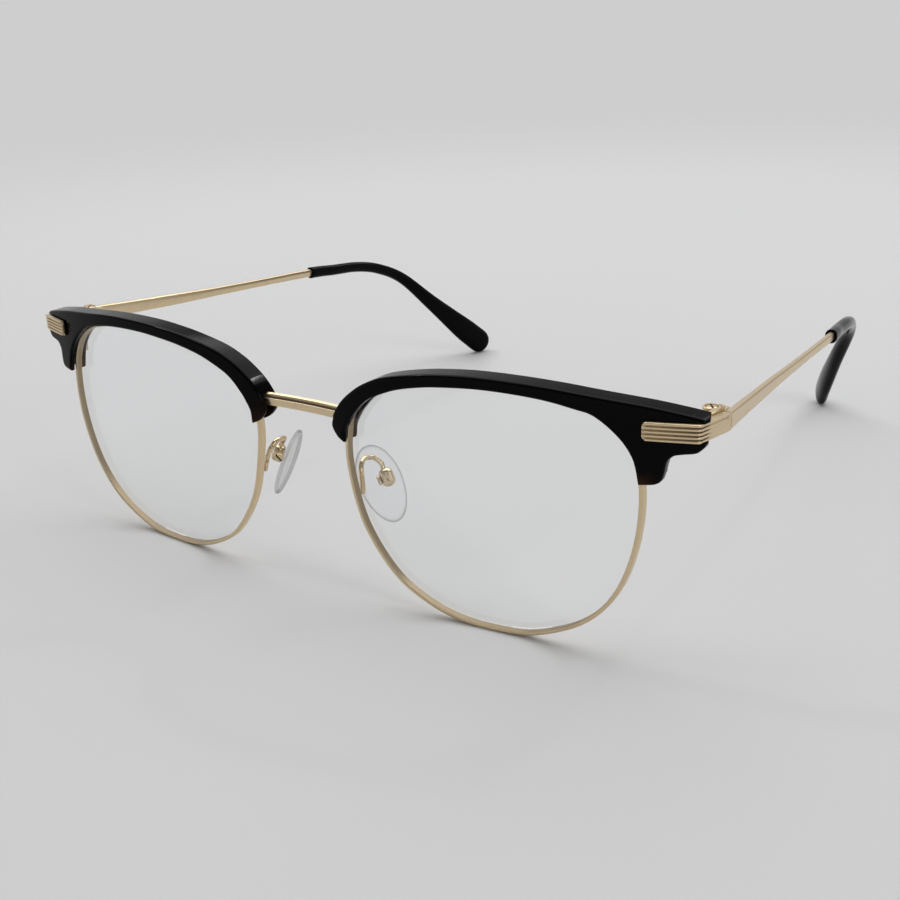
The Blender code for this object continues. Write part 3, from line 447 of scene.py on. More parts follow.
def make_acetate():
    material, nodes = new_finish("dark_acetate")
    where = nodes.place()
    slab = nodes.add("ShaderNodeMapping", {}, {"Vector": where, "Scale": (0.6, 1.0, 1.6)})
    patches = nodes.noise(slab, 110, 3.0, 0.55)
    spot = nodes.add("ShaderNodeSeparateXYZ", {}, {"Vector": where})
    aside, back, height = spot.out("X").absolute(), spot.out("Y"), spot.out("Z")
    leg = nodes.ramp(height, LEG_TOP, LEG_FOOT)
    for outer, inner in LEG_SIDES:
        leg = leg * nodes.ramp(aside, outer, inner)
    nose = nodes.ramp(height, NOSE_TOP, NOSE_FOOT) * nodes.ramp(aside, *NOSE_SIDE)
    # Painted glow of light through the thin leg and nasal end, plus faint patches everywhere.
    thin = nodes.ramp(back, FRONT_FROM, FRONT_TO) * (leg + 0.25 * nose)
    glow = thin * nodes.ramp(patches, 0.30, 0.55) + 0.12 * nodes.ramp(patches, 0.66, 0.80)
    waves = nodes.noise(where, 160, 1.0)
    dust = nodes.noise(where, 2400, 2.0)
    nodes.show_surface({
        "Base Color": nodes.blend(glow.clamped(), NEAR_BLACK, RED_BROWN),
        "Roughness": 0.085 + 0.05 * waves + 0.03 * dust,
        "Specular IOR Level": 0.06,
        "Normal": nodes.bump(waves, WAVE_RELIEF, 0.20),
    })
    return material


acetate = make_acetate()
print("acetate:", acetate.name)

# %% [markdown]
# ## Clear plastics
# The lenses are plano demonstration lenses: clear, with a faint reflection that grows towards
# grazing angles. Refraction would darken the table under a lens without need, so the lens mixes
# a clear shader with a gloss by Fresnel. The pads are soft and clear, and less clear where the
# eye looks through more of the plastic at steep angles. Their outer edge carries painted shade,
# a greyer rim that stands for what the clear edge refracts.

# %% Lens and pad finishes
LENS_GLEAM = (0.9, 0.93, 0.95, 1)
LENS_TINT = (0.992, 0.995, 0.995, 1)
PAD_TINT = (0.990, 0.990, 0.993, 1)
PAD_GREY = (0.50, 0.50, 0.51)
# Painted shade at the pad's outer edge, standing for what the clear edge refracts.
PAD_RIM_SHADE = (0.10, 0.105, 0.115)
PAD_RELIEF = 0.00003


def make_lens_finish():
    material, nodes = new_finish("clear_lens")
    smear = nodes.noise(nodes.place(), 220, 2.0)
    gloss = nodes.add("ShaderNodeBsdfPrincipled", {}, {
        "Base Color": LENS_GLEAM, "Metallic": 1.0, "Roughness": 0.02 + 0.05 * smear,
    })
    clear = nodes.add("ShaderNodeBsdfTransparent", {}, {"Color": LENS_TINT})
    fresnel = nodes.add("ShaderNodeFresnel", {}, {"IOR": 1.5})
    nodes.show_mix(0.12 * fresnel, clear, gloss)
    return material


def make_pad_finish():
    material, nodes = new_finish("clear_pad")
    facing = nodes.add("ShaderNodeLayerWeight", {}, {"Blend": 0.5}).out("Facing")
    steep = nodes.ramp(facing, 0.30, 0.85)
    # Painted shade at the pad's outer edge.
    rim = nodes.mark("rim")
    cloud = nodes.noise(nodes.place(), 500, 2.0)
    body = nodes.add("ShaderNodeBsdfPrincipled", {}, {
        "Base Color": nodes.blend(rim, PAD_GREY, PAD_RIM_SHADE),
        "Roughness": 0.10 + 0.08 * cloud,
        "Normal": nodes.bump(cloud, PAD_RELIEF, 0.15),
    })
    clear = nodes.add("ShaderNodeBsdfTransparent", {}, {"Color": PAD_TINT})
    nodes.show_mix(0.005 + 0.02 * cloud + 0.32 * rim + 0.30 * steep, clear, body)
    return material


lens_clear, pad_clear = make_lens_finish(), make_pad_finish()
print("clear finishes:", lens_clear.name, pad_clear.name)


# %% [markdown]
# ## Handing a piece over
# Every piece is smooth-shaded with its real edges kept sharp, rides on its CAD body, stands for
# the nodes that it replaces, and takes a finish.

# %% One way to hand a piece over
def hand_over(name, mesh, finish, body, nodes, sharp=35):
    mesh.name = name
    piece = linked(name, mesh)
    mesh.materials.clear()
    mesh.materials.append(finish)
    mesh.shade_smooth()
    mesh.set_sharp_from_angle(angle=math.radians(sharp))
    piece.modifiers.new("even_normals", "WEIGHTED_NORMAL").keep_sharp = True
    smooth = baked(piece)
    smooth.name = name
    piece = linked(name, smooth)
    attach(piece, body)
    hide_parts(*nodes)
    triangles = sum(len(face.vertices) - 2 for face in smooth.polygons)
    print(f"{name}: {triangles} triangles on {body}")


SIDES = ((1, "left"), (-1, "right"))

# %% [markdown]
# ## Bars that follow a path
# Rims, ribs and pad wires are one kind of thing: a small rounded section along a path. One
# Geometry Nodes tree makes them, with its sizes as named inputs. Its section is a rectangle
# with filleted corners, so that a full fillet makes a round wire.

# %% The swept bar tree
BAR_CORNER_STEPS = 5


def new_tree(name, **inputs):
    """A Geometry Nodes tree with named inputs, and the node that gives them."""
    tree = bpy.data.node_groups.new(name, "GeometryNodeTree")
    for label, kind in inputs.items():
        tree.interface.new_socket(label, in_out="INPUT", socket_type="NodeSocket" + kind)
    tree.interface.new_socket("Geometry", in_out="OUTPUT", socket_type="NodeSocketGeometry")
    nodes = Nodes(tree)
    return tree, nodes, nodes.add("NodeGroupInput")


def end_tree(nodes, geometry, finish):
    """Makes what a tree placed real, gives it its finish and puts it out."""
    real = nodes.add("GeometryNodeRealizeInstances", {}, {"Geometry": geometry})
    done = nodes.add("GeometryNodeSetMaterial", {}, {"Geometry": real, "Material": finish})
    nodes.add("NodeGroupOutput", {}, {"Geometry": done})


def make_bar_tree():
    tree, nodes, sizes = new_tree(
        "swept_bar", Path="Object", Across="Float", Deep="Float", Rounding="Float",
        Finish="Material",
    )
    path = nodes.add("GeometryNodeObjectInfo", {}, {"Object": sizes.out("Path")}).out("Geometry")
    rail = nodes.add("GeometryNodeSetCurveNormal", {"mode": "Z_UP"}, {"Curve": path})
    oblong = nodes.add("GeometryNodeCurvePrimitiveQuadrilateral", {}, {
        "Width": sizes.out("Across"), "Height": sizes.out("Deep"),
    })
    section = nodes.add("GeometryNodeFilletCurve", {"mode": "POLY"}, {
        "Curve": oblong, "Count": BAR_CORNER_STEPS, "Radius": sizes.out("Rounding"), "Limit Radius": True,
    })
    swept = nodes.add("GeometryNodeCurveToMesh", {}, {
        "Curve": rail, "Profile Curve": section, "Fill Caps": True,
    })
    welded = nodes.add("GeometryNodeMergeByDistance", {}, {"Geometry": swept, "Distance": WELD})
    end_tree(nodes, welded, sizes.out("Finish"))
    return tree


BAR_TREE = make_bar_tree()


def with_tree(tree, thing, values, *helpers):
    """Runs a tree on an object with its inputs set by name, and gives the plain mesh."""
    modifier = thing.modifiers.new(tree.name, "NODES")
    modifier.node_group = tree
    for item in tree.interface.items_tree:
        if item.item_type == "SOCKET" and item.in_out == "INPUT" and item.name in values:
            modifier[item.identifier] = values[item.name]
    return turned_out(baked(thing, *helpers))


def swept_bar(path, across, deep, rounding, finish):
    carrier = linked("bar", bpy.data.meshes.new("bar"))
    values = {
        "Path": path, "Across": across, "Deep": deep, "Rounding": rounding, "Finish": finish,
    }
    return with_tree(BAR_TREE, carrier, values, path)


# %% [markdown]
# ## Rims
# The eyewire is a flat-sided metal wire about 0.7 mm wide and 1.5 mm deep, bent to the lens
# shape and onto the bowl. The path is drawn flat, swept, and then bent with the face.

# %% Both rims
# How dark the painted shade on the rim's inner side gets.
INNER_PAINTED_SHADE = 0.58
RIM_SHARES = (
    (0.999, 0.326), (0.967, -0.101), (0.849, -0.494), (0.644, -0.778), (0.330, -0.960),
    (0.050, -1.000), (-0.220, -0.980), (-0.450, -0.890), (-0.680, -0.704), (-0.891, -0.323),
    (-0.987, 0.124),
    (-0.993, 0.419), (-0.926, 0.710), (-0.722, 0.897), (-0.337, 0.986), (0.047, 1.002),
    (0.432, 0.977), (0.759, 0.869), (0.940, 0.653),
)


def rim_path(distance=0.0, steps=12):
    line = curve_through(front_points(RIM_SHARES), steps, closed=True)
    return offset(anticlockwise(line), distance)


def rim_seat(gap, depth):
    """A block with the rim's outer outline, which trims what meets the rim."""
    return outlined(rim_path(RIM_WIDTH / 2 + gap), depth)


def painted_inner_shade(mesh, line):
    """Paints shade on the rim's side that faces the lens."""
    tree = KDTree(len(line))
    for index, point in enumerate(line):
        tree.insert((*point, 0), index)
    tree.balance()
    marks = []
    for vertex in mesh.vertices:
        flat = Vector((vertex.co.x, vertex.co.y))
        index = tree.find((*flat, 0))[1]
        along = line[(index + 1) % len(line)] - line[index - 1]
        outward = Vector((along.y, -along.x)).normalized()
        inside = -2 * (flat - line[index]).dot(outward) / RIM_WIDTH
        marks.append(INNER_PAINTED_SHADE * min(max(3 * inside - 2, 0.0), 1.0))
    return marked(mesh, "painted_shade_and_pits", marks)


for side, word in SIDES:
    line = rim_path()
    wire = swept_bar(line_curve([line], closed=True), RIM_WIDTH, RIM_DEPTH, RIM_EDGE, champagne)
    wire = laid_on_face(painted_inner_shade(wire, line), side)
    hand_over(word + "_eyewire", wire, champagne, "front", [word + "_rim"], 60)

# %% [markdown]
# ## Lenses
# A lens is two parallel bowls with a ridge round its edge that sits in the rim's groove. Rings
# of the rim's own shape shrink to the middle of each face, so its mesh flows with the outline.

# %% Both lenses
RING_SHARES = (0.15, 0.35, 0.55, 0.72, 0.86, 0.95, 1.0)
LENS_STEPS = 8


def make_lens(side):
    body = rim_path(-RIM_WIDTH / 2 - SEAT_GAP, LENS_STEPS)
    ridge = rim_path(-RIM_WIDTH / 2 + GROOVE_REACH, LENS_STEPS)
    middle = Vector((LENS_X, LENS_Z))

    def ring(points, shrink, depth):
        flat = [middle + shrink * (point - middle) for point in points]
        return [Vector((side * p.x, face_y(p.x, p.y) + depth, p.y)) for p in flat]

    back = [ring(body, shrink, LENS_THICKNESS / 2) for shrink in RING_SHARES]
    front = [ring(body, shrink, -LENS_THICKNESS / 2) for shrink in reversed(RING_SHARES)]
    return loft(back + [ring(ridge, 1.0, 0)] + front)


for side, word in SIDES:
    lens = make_lens(side)
    hand_over(word + "_clear_lens", lens, lens_clear, "front", [word + "_lens"], 20)

# %% [markdown]
# ## Brows
# Each brow is milled from sheet: a rounded outline with a channel for the rim, a slot for the
# bridge, a hollow behind its leg for the rim's lock and a notch for the end piece. It is drawn
# flat and cut flat. Its faces are then divided into a fine grid before they are bent, because
# a glossy surface shows every facet.

# %% Brow outlines
BROW_OUTER_SHARES = (
    (-0.987, 0.382), (-1.037, 0.412), (-1.072, 0.457), (-1.091, 0.504), (-1.083, 0.560),
    (-1.072, 0.607), (-1.010, 0.712), (-0.922, 0.808), (-0.822, 0.888), (-0.672, 0.967),
    (-0.434, 1.033), (-0.222, 1.068), (-0.030, 1.084), (0.220, 1.084), (0.470, 1.068),
    (0.701, 1.040), (0.982, 1.002), (1.163, 0.967), (1.297, 0.934), (1.331, 0.917),
    (1.350, 0.884), (1.355, 0.832), (1.351, 0.789), (1.336, 0.738), (1.313, 0.705),
    (1.286, 0.684), (1.220, 0.672), (1.174, 0.658), (1.147, 0.625), (1.136, 0.588),
    (1.130, 0.532), (1.120, 0.480), (1.101, 0.454), (1.067, 0.440), (0.994, 0.433),
)
BROW_INNER_SHARES = (
    (0.994, 0.433), (0.974, 0.550), (0.947, 0.639), (0.890, 0.738), (0.807, 0.831),
    (0.713, 0.904), (0.624, 0.930), (0.451, 0.970), (0.240, 0.991), (0.009, 0.993),
    (-0.210, 0.972), (-0.376, 0.944), (-0.568, 0.888), (-0.741, 0.799), (-0.826, 0.731),
    (-0.903, 0.630), (-0.934, 0.576), (-0.972, 0.490), (-0.982, 0.400), (-0.987, 0.382),
)
SLOT_SHARES = ((-1.160, 0.340), (-0.965, 0.340), (-0.965, 0.648), (-1.160, 0.648))
POCKET_SHARES = ((1.102, 0.300), (0.930, 0.300), (0.930, 0.570), (0.955, 0.570))
LEG_CUT_SHARES = (1.136, 0.625)
LEG_CUT_FACING = (0.846, -0.215, 0.538)
BROW_DEPTH = 0.00415
BROW_ROUNDING = 0.00050
BROW_CHANNEL = 0.00170
BRIDGE_SLOT_FRONT = 0.00115
BRIDGE_SLOT_BACK = 0.00095
LEG_FRONT_WALL = 0.00105
LEG_SIDE_WALL = 0.00200
LEG_INNER_WALL = 0.00035
CUTTER_SIZE = 0.00600
CUT_REACH = 0.00001
FLAT_ANGLE = math.radians(0.5)
BROW_PITCH = 0.0010
BROW_STEPS, BROW_RINGS = 5, 5
INSET_SLACK_SHARE = 0.985
LOCK_SHARE = 0.480
LOCK_HEIGHT = 0.00360
LOCK_HEADROOM = 0.00035
END_SLANT = math.radians(17.4)
LOCK_FOOT = LENS_Z + LOCK_SHARE * HALF_HEIGHT
LOCK_TOP = LOCK_FOOT + LOCK_HEIGHT + LOCK_HEADROOM

# %% [markdown]
# ## End pieces, in plan
# The ribbed plate lies on the brow's face, turns a tight corner round its end and runs back to
# the hinge, leaning out a little and dropping as it goes. Its outer line in plan is needed
# first, because the brow's notch follows it.

# %% The plate's line in plan
PLATE_HEIGHT = 0.00290
PLATE_THICKNESS = 0.00075
SIDE_THICKNESS = 0.00135
CORNER_RADIUS = 0.00060
CORNER_STEPS = 8
SIDE_SPREAD = 0.00080
SIDE_DROP = 0.00105
SEAM_SETBACK = 0.00050
SEAM_GAP = 0.00016
BROW_END_X = LENS_X + END_ACROSS
PLATE_START_SHARE = 1.013
PLATE_X = LENS_X + PLATE_START_SHARE * HALF_WIDTH
PLATE_Z = LENS_Z + END_UP
CORNER_X = BROW_END_X - SIDE_SPREAD
HINGE_INSET = 0.00300
HINGE_X = BROW_END_X - HINGE_INSET
HINGE_Y = LENS_Y + HINGE_SETBACK
SEAM_Y = HINGE_Y + SEAM_SETBACK
SEAM_Z = PLATE_Z - SIDE_DROP
HINGE_RISE = 0.00035
HINGE_Z = SEAM_Z + HINGE_RISE
HINGE_POINT = Vector((HINGE_X, HINGE_Y, HINGE_Z))
PLATE_BACK = -BROW_DEPTH / 2 - SEAT_GAP
PLATE_FRONT = PLATE_BACK - PLATE_THICKNESS
LUG_FACE = BROW_DEPTH / 2 + SEAT_GAP
LUG_THICKNESS = 0.00090
print("hinge point in mm:", [round(1000 * part, 3) for part in HINGE_POINT])


def plate_y(x, depth):
    return face_y(x, PLATE_Z) + depth


def corner_y():
    return plate_y(CORNER_X, PLATE_FRONT)


def slope_drop(y):
    share = (y - corner_y()) / (SEAM_Y - corner_y())
    return SIDE_DROP * min(max(share, 0), 1)


def plate_outer_line(steps=14):
    last = CORNER_X - CORNER_RADIUS
    places = [PLATE_X + (last - PLATE_X) * step / steps for step in range(steps + 1)]
    line = [Vector((x, plate_y(x, PLATE_FRONT))) for x in places]
    corner = Vector((CORNER_X, corner_y()))
    end = Vector((BROW_END_X, SEAM_Y - SEAM_GAP / 2))
    after = corner + CORNER_RADIUS * (end - corner).normalized()
    before = line[-1]
    for step in range(1, CORNER_STEPS + 1):
        t = step / CORNER_STEPS
        line.append((1 - t) ** 2 * before + 2 * t * (1 - t) * corner + t**2 * after)
    line += [after + (end - after) * step / steps for step in range(1, steps + 1)]
    return line


# %% Both brows
def end_notch():
    half = PLATE_HEIGHT / 2 + SEAT_GAP
    low = (CORNER_X - SIDE_THICKNESS - SEAT_GAP, corner_y() - OVERRUN, PLATE_Z - half)
    high = (BROW_END_X + OVERRUN, SEAM_Y, PLATE_Z + half)
    notch = box(low, high)
    for vertex in notch.vertices:
        vertex.co.z -= SIDE_DROP / (SEAM_Y - corner_y()) * (vertex.co.y - corner_y())
    return notch


def end_cutter():
    half = CUTTER_SIZE
    block = box((-half, -half, 0), (half, half, half))
    facing = Vector((math.cos(END_SLANT), 0, math.sin(END_SLANT)))
    return moved(block, turned_to(facing, Vector((BROW_END_X, PLATE_Z, -BROW_DEPTH / 2))))


def leg_cutter():
    corner = front_points((LEG_CUT_SHARES,))[0]
    point = Vector((*corner, LEG_SIDE_WALL - BROW_DEPTH / 2))
    half = CUTTER_SIZE
    block = box((-half, -half, 0), (half, half, half))
    block = moved(block, turned_to(Vector(LEG_CUT_FACING), point))
    low = (corner.x - half, corner.y - 2 * half, -half)
    below = box(low, (corner.x + half, corner.y, half))
    return carved(block, [below], "INTERSECT")


def inset(points, distance):
    """The outline drawn in by a distance, with its folded corners gathered to a point."""
    count = len(points)
    inner = offset(points, -distance)
    ends = points[1:] + points[:1]

    def clear(spot):
        for start, end in zip(points, ends):
            along = end - start
            share = min(max((spot - start).dot(along) / along.length_squared, 0.0), 1.0)
            if (spot - start - share * along).length < INSET_SLACK_SHARE * distance:
                return False
        return True

    kept = [clear(spot) for spot in inner]
    for index in range(count):
        if kept[index]:
            continue
        first = next(index - step for step in range(count) if kept[index - step])
        onward = [(index + step) % count for step in range(count)]
        last = next(spot for spot in onward if kept[spot])
        along, back = points[first] - points[first - 1], points[last] - ends[last]
        cross = along.x * back.y - along.y * back.x
        gap = inner[last] - inner[first]
        reach = (gap.x * back.y - gap.y * back.x) / cross
        inner[index] = inner[first] + reach * along
    return inner


def rounded_slab(points, depth, rounding, rings):
    """A slab with the given outline and quarter-round edges, front and back."""
    rows = []
    for step in range(rings + 1):
        angle = math.radians(90 * step / rings)
        ring = inset(points, rounding * (1 - math.sin(angle))) if step < rings else points
        level = depth / 2 - rounding * (1 - math.cos(angle))
        rows.append([Vector((*point, -level)) for point in ring])
    return turned_out(loft(rows + [[Vector((p.x, p.y, -p.z)) for p in row] for row in rows[::-1]]))


def gridded(mesh, pitch):
    """Divides a flat-drawn mesh by evenly spaced cuts along X and Y."""
    form = bmesh.new()
    form.from_mesh(mesh)
    bmesh.ops.dissolve_limit(form, angle_limit=FLAT_ANGLE, verts=form.verts, edges=form.edges)
    for axis in (0, 1):
        low = min(vertex.co[axis] for vertex in form.verts)
        high = max(vertex.co[axis] for vertex in form.verts)
        normal = Vector((1 - axis, axis, 0))
        for step in range(1, int((high - low) / pitch) + 1):
            spot = (low + step * pitch) * normal
            everything = form.verts[:] + form.edges[:] + form.faces[:]
            bmesh.ops.bisect_plane(
                form, geom=everything, plane_co=spot, plane_no=normal, dist=CUT_REACH
            )
    return poured(form, mesh)


def lock_room():
    """The hollow for the rim's lock, wider in front of the wall that stays behind the rim."""
    foot = front_points(POCKET_SHARES)
    bottom, outer = foot[0].y, foot[0].x
    shape = foot + [Vector((foot[-1].x, LOCK_TOP)), Vector((outer, LOCK_TOP))]
    start, middle, end = LEG_FRONT_WALL - BROW_DEPTH / 2, BROW_CHANNEL / 2, BROW_DEPTH
    front = shifted(outlined(shape, middle - start), 0, 0, (start + middle) / 2)
    side = rim_path(RIM_WIDTH / 2 + LEG_INNER_WALL)
    side = sorted((point.y, point.x) for point in side if point.x > LENS_X)
    inner = [(y, x) for y, x in side if bottom < y < LOCK_TOP]
    inner = [(bottom, value_at(side, bottom))] + inner + [(LOCK_TOP, value_at(side, LOCK_TOP))]
    shape = [Vector((x, y)) for y, x in inner]
    shape += [Vector((outer, LOCK_TOP)), Vector((outer, bottom))]
    lapped = middle - SEAT_GAP
    back = shifted(outlined(shape, end - lapped), 0, 0, (lapped + end) / 2)
    return front, back


def make_brow():
    edge = curve_through(front_points(BROW_OUTER_SHARES), BROW_STEPS)[:-1]
    edge += curve_through(front_points(BROW_INNER_SHARES), BROW_STEPS)[:-1]
    brow = rounded_slab(anticlockwise(edge), BROW_DEPTH, BROW_ROUNDING, BROW_RINGS)
    slot = outlined(front_points(SLOT_SHARES), BRIDGE_SLOT_FRONT + BRIDGE_SLOT_BACK)
    slot = shifted(slot, 0, 0, (BRIDGE_SLOT_BACK - BRIDGE_SLOT_FRONT) / 2)
    channel = rim_seat(SEAT_GAP, BROW_CHANNEL)
    brow = carved(brow, [channel, slot, *lock_room(), leg_cutter(), end_cutter()])
    brow = laid_on_face(gridded(brow, BROW_PITCH), 1)
    return carved(brow, [end_notch()])


brow_mesh = make_brow()
for side, word in SIDES:
    mesh = mirrored(brow_mesh.copy(), side)
    hand_over(word + "_browline", mesh, acetate, "front", [word + "_brow"], 40)

# %% [markdown]
# ## End pieces
# The plate's body is a loft: upright sections set along its plan line, with a recessed face
# that carries the ribs, and rounded corners at its nasal end. The five ribs are five paths
# through the swept bar tree. The recess between them is darkened with painted shade, most
# towards the corner, and is less deep and less dark along the lower edge past the corner,
# where the ribs run out.

# %% Both end pieces
RIB_COUNT = 5
RIB_RECESS = 0.00023
RIB_STOP = 0.00110
RIB_ACROSS = 0.00042
RIB_DEEP = 0.00040
RIB_ROUND = 0.00016
RIB_RAMP = 0.00015
RIB_HOLD = 0.00019
PLATE_EDGE = 0.00012
NASAL_ROUND = 0.00060
NASAL_STEPS = 8
PLATE_PITCH = 0.00030
PLATE_LOOK = 0.00008
LUG_EDGE = 0.00010
LUG_PITCH = 0.0015
# Painted shade in the recess between the ribs along the plate, darkest towards the corner.
GROOVE_SHADE_SHARES = (
    (0.0, 0.10), (0.04, 0.45), (0.25, 0.65), (0.50, 1.0), (0.58, 1.0), (0.63, 0.30), (1.0, 0.22),
)
LOW_RECESS_SHARES = ((0.0, 1.0), (0.58, 1.0), (0.66, 0.10), (1.0, 0.05))
PLAIN_TO = 0.00020


def running_lengths(line):
    total = [0.0]
    for first, second in zip(line, line[1:]):
        total.append(total[-1] + (second - first).length)
    return total


PLATE_LINE = plate_outer_line()
PLATE_RUNS = running_lengths(PLATE_LINE)
PLATE_RUN = PLATE_RUNS[-1]


def plate_spot(run):
    """The point a given length along the plate's outer line."""
    for index in range(len(PLATE_RUNS) - 1):
        if run <= PLATE_RUNS[index + 1] or index == len(PLATE_RUNS) - 2:
            share = (run - PLATE_RUNS[index]) / (PLATE_RUNS[index + 1] - PLATE_RUNS[index])
            return PLATE_LINE[index].lerp(PLATE_LINE[index + 1], share)


def plate_outward(run):
    after = plate_spot(min(run + PLATE_LOOK, PLATE_RUN))
    along = after - plate_spot(max(run - PLATE_LOOK, 0.0))
    return Vector((along.y, -along.x)).normalized()


def plate_inner(point):
    """The point behind an outer one, on the plate's inner line."""
    inner_x = CORNER_X - SIDE_THICKNESS
    if point.x < inner_x:
        return Vector((point.x, plate_y(point.x, PLATE_BACK)))
    back = plate_y(inner_x, PLATE_BACK)
    depth = max(back, point.y)
    return Vector((inner_x + SIDE_SPREAD * (depth - back) / (PLATE_LINE[-1].y - back), depth))


def plate_runs(first, last):
    count = max(1, round((last - first) / PLATE_PITCH))
    return [first + (last - first) * step / count for step in range(count + 1)]


def make_plate():
    stop = PLATE_RUN - RIB_STOP
    turns = [math.radians(90 * step / NASAL_STEPS) for step in range(NASAL_STEPS)]
    runs = [NASAL_ROUND * (1 - math.cos(turn)) for turn in turns]
    runs += plate_runs(NASAL_ROUND, stop) + [stop + RIB_RAMP, PLATE_RUN]
    rings = []
    for run in runs:
        short = max(0.0, NASAL_ROUND - run)
        half = PLATE_HEIGHT / 2 - NASAL_ROUND + math.sqrt(max(NASAL_ROUND**2 - short**2, 0.0))
        outward = plate_outward(run)
        recess = RIB_RECESS if run <= stop else 0.0
        point = plate_spot(run)
        face = point - recess * outward
        low_face = point - recess * value_at(LOW_RECESS_SHARES, run / PLATE_RUN) * outward
        inner = plate_inner(point)
        edge = PLATE_EDGE
        ring = []
        for spot, up in (
            (inner, -half), (low_face - edge * outward, -half), (low_face, edge - half),
            (low_face, PLAIN_TO), (face, half - edge), (face - edge * outward, half), (inner, half),
        ):
            ring.append(Vector((spot.x, spot.y, PLATE_Z + up - slope_drop(spot.y))))
        rings.append(ring)
    # Painted shade for the recess between the ribs.
    marks = []
    for run in runs:
        share = run / PLATE_RUN
        dark = value_at(GROOVE_SHADE_SHARES, share) if run <= stop else 0.0
        low = dark * value_at(LOW_RECESS_SHARES, share)
        marks += [0.0, 0.0, low, low, dark, 0.0, 0.0]
    return marked(loft(rings), "painted_shade_and_pits", marks)


def make_ribs():
    paths = []
    for rib in range(RIB_COUNT):
        up = (PLATE_HEIGHT - RIB_ACROSS) * (rib / (RIB_COUNT - 1) - 1 / 2)
        rise = max(0.0, abs(up) + RIB_HOLD - PLATE_HEIGHT / 2 + NASAL_ROUND)
        start = NASAL_ROUND - math.sqrt(NASAL_ROUND**2 - rise**2)
        path = []
        for run in plate_runs(start, PLATE_RUN - RIB_STOP):
            spot = plate_spot(run) - RIB_DEEP / 2 * plate_outward(run)
            path.append(Vector((spot.x, spot.y, PLATE_Z + up - slope_drop(spot.y))))
        paths.append(path)
    return swept_bar(line_curve(paths), RIB_DEEP, RIB_ACROSS, RIB_ROUND, champagne)


LUG_SHARES = (
    (1.300, 0.872), (1.008, 0.872), (1.008, 0.575), (1.086, 0.575), (1.086, 0.780), (1.300, 0.780),
)


def make_lug():
    outline = front_points(LUG_SHARES)
    outline[0].x = outline[-1].x = CORNER_X - (SIDE_THICKNESS - SIDE_SPREAD) / 2
    lug = gridded(outlined(outline, LUG_THICKNESS, LUG_EDGE, 2), LUG_PITCH)
    return laid_on_face(shifted(lug, 0, 0, LUG_FACE + LUG_THICKNESS / 2), 1)


def together(*meshes):
    """Several meshes in one, each keeping its own points."""
    form = bmesh.new()
    for mesh in meshes:
        form.from_mesh(mesh)
    return poured(form, bpy.data.meshes.new("together"))


end_mesh = together(make_plate(), make_ribs(), make_lug())
for side, word in SIDES:
    mesh = mirrored(end_mesh.copy(), side)
    hand_over(
        word + "_ribbed_end", mesh, champagne, "front", [word + "_end_piece"], 40
    )

# %% [markdown]
# ## The bridge
# The bridge is one stamped bar between the rims, arched a little. Its front has a groove under
# a round top bead, and painted shade in the groove makes it show as a dark line. A section with
# those curves is lofted across.

# %% The bridge bar
BRIDGE_HEIGHT = 0.00190
BRIDGE_DEPTH = 0.00136
BRIDGE_ARCH = 0.00030
BRIDGE_RISE_SHARE = 0.580
BRIDGE_REACH = 0.01045
BRIDGE_LEDGE_SHARES = (-0.10, 0.17)
BRIDGE_STEPS = 48
BRIDGE_SECTION_STEPS = 8
BRIDGE_SHADE, BRIDGE_SHADE_FADE, BRIDGE_SHADE_MOST = 1.9, 0.11, 0.9
BRIDGE_SECTION_SHARES = (
    (-0.45, -0.45), (-0.40, -0.50), (0.40, -0.50), (0.50, -0.42), (0.50, 0.44), (0.40, 0.50),
    (0.22, 0.49), (0.02, 0.36), (-0.03, 0.24), (0.05, 0.19), (-0.13, 0.12), (-0.42, 0.09),
)


def make_bridge():
    rise = LENS_Z + BRIDGE_RISE_SHARE * HALF_HEIGHT
    depth = face_y(NOSE_GAP / 2, rise)
    shares = [Vector(row) for row in BRIDGE_SECTION_SHARES]
    section = curve_through(shares, BRIDGE_SECTION_STEPS, closed=True)
    ledge = Vector(BRIDGE_LEDGE_SHARES)
    # Painted shade along the groove under the bead, darkest at the ledge.
    marks = [BRIDGE_SHADE - (point - ledge).length / BRIDGE_SHADE_FADE for point in section]
    marks = [min(max(mark, 0.0), BRIDGE_SHADE_MOST) for mark in marks]
    rings = []
    for step in range(BRIDGE_STEPS + 1):
        share = 2 * step / BRIDGE_STEPS - 1
        lift = rise + BRIDGE_ARCH * (1 - share**2)
        x = share * BRIDGE_REACH
        rings.append([
            Vector((x, depth + a * BRIDGE_DEPTH, lift + b * BRIDGE_HEIGHT)) for a, b in section
        ])
    return marked(loft(rings), "painted_shade_and_pits", marks * len(rings))


hand_over("bridge_bar", make_bridge(), champagne, "front", ["bridge"], 40)

# %% [markdown]
# ## Hinges
# The front half has two knuckles and the temple's half one between them. Each half is drawn in
# plan as a circle with a leaf, extruded with rounded edges, and cut where the other half turns.

# %% Hinge halves
BARREL_RADIUS = 0.00140
BARREL_HEIGHT = 0.00360
MIDDLE_KNUCKLE = 0.00120
KNUCKLE_GAP = 0.00010
LEAF_THICKNESS = 0.00100
FRONT_LEAF = 0.00320
REAR_LEAF = 0.00400
REAR_LEAF_DROP = 0.00110
HINGE_SCREW_RADIUS = 0.00050
HINGE_SCREW_HEAD = 0.00090
HINGE_SCREW_RECESS = 0.00035
SCREW_PLAY = 0.00012
HINGE_EDGE = 0.00008
BARREL_STEPS = 55
TEMPLE_THICKNESS = 0.00130
TEMPLE_TOE_IN = 0.01985
TIP_END_RADIUS = 0.00335
TIP_END_LENGTH = 0.00415
TIP_END_REACH = 0.00383
TIP_END_LIFT = 0.00395
TEMPLE_RUN = TEMPLE_REACH - TIP_END_REACH - SEAM_SETBACK - SEAM_GAP / 2
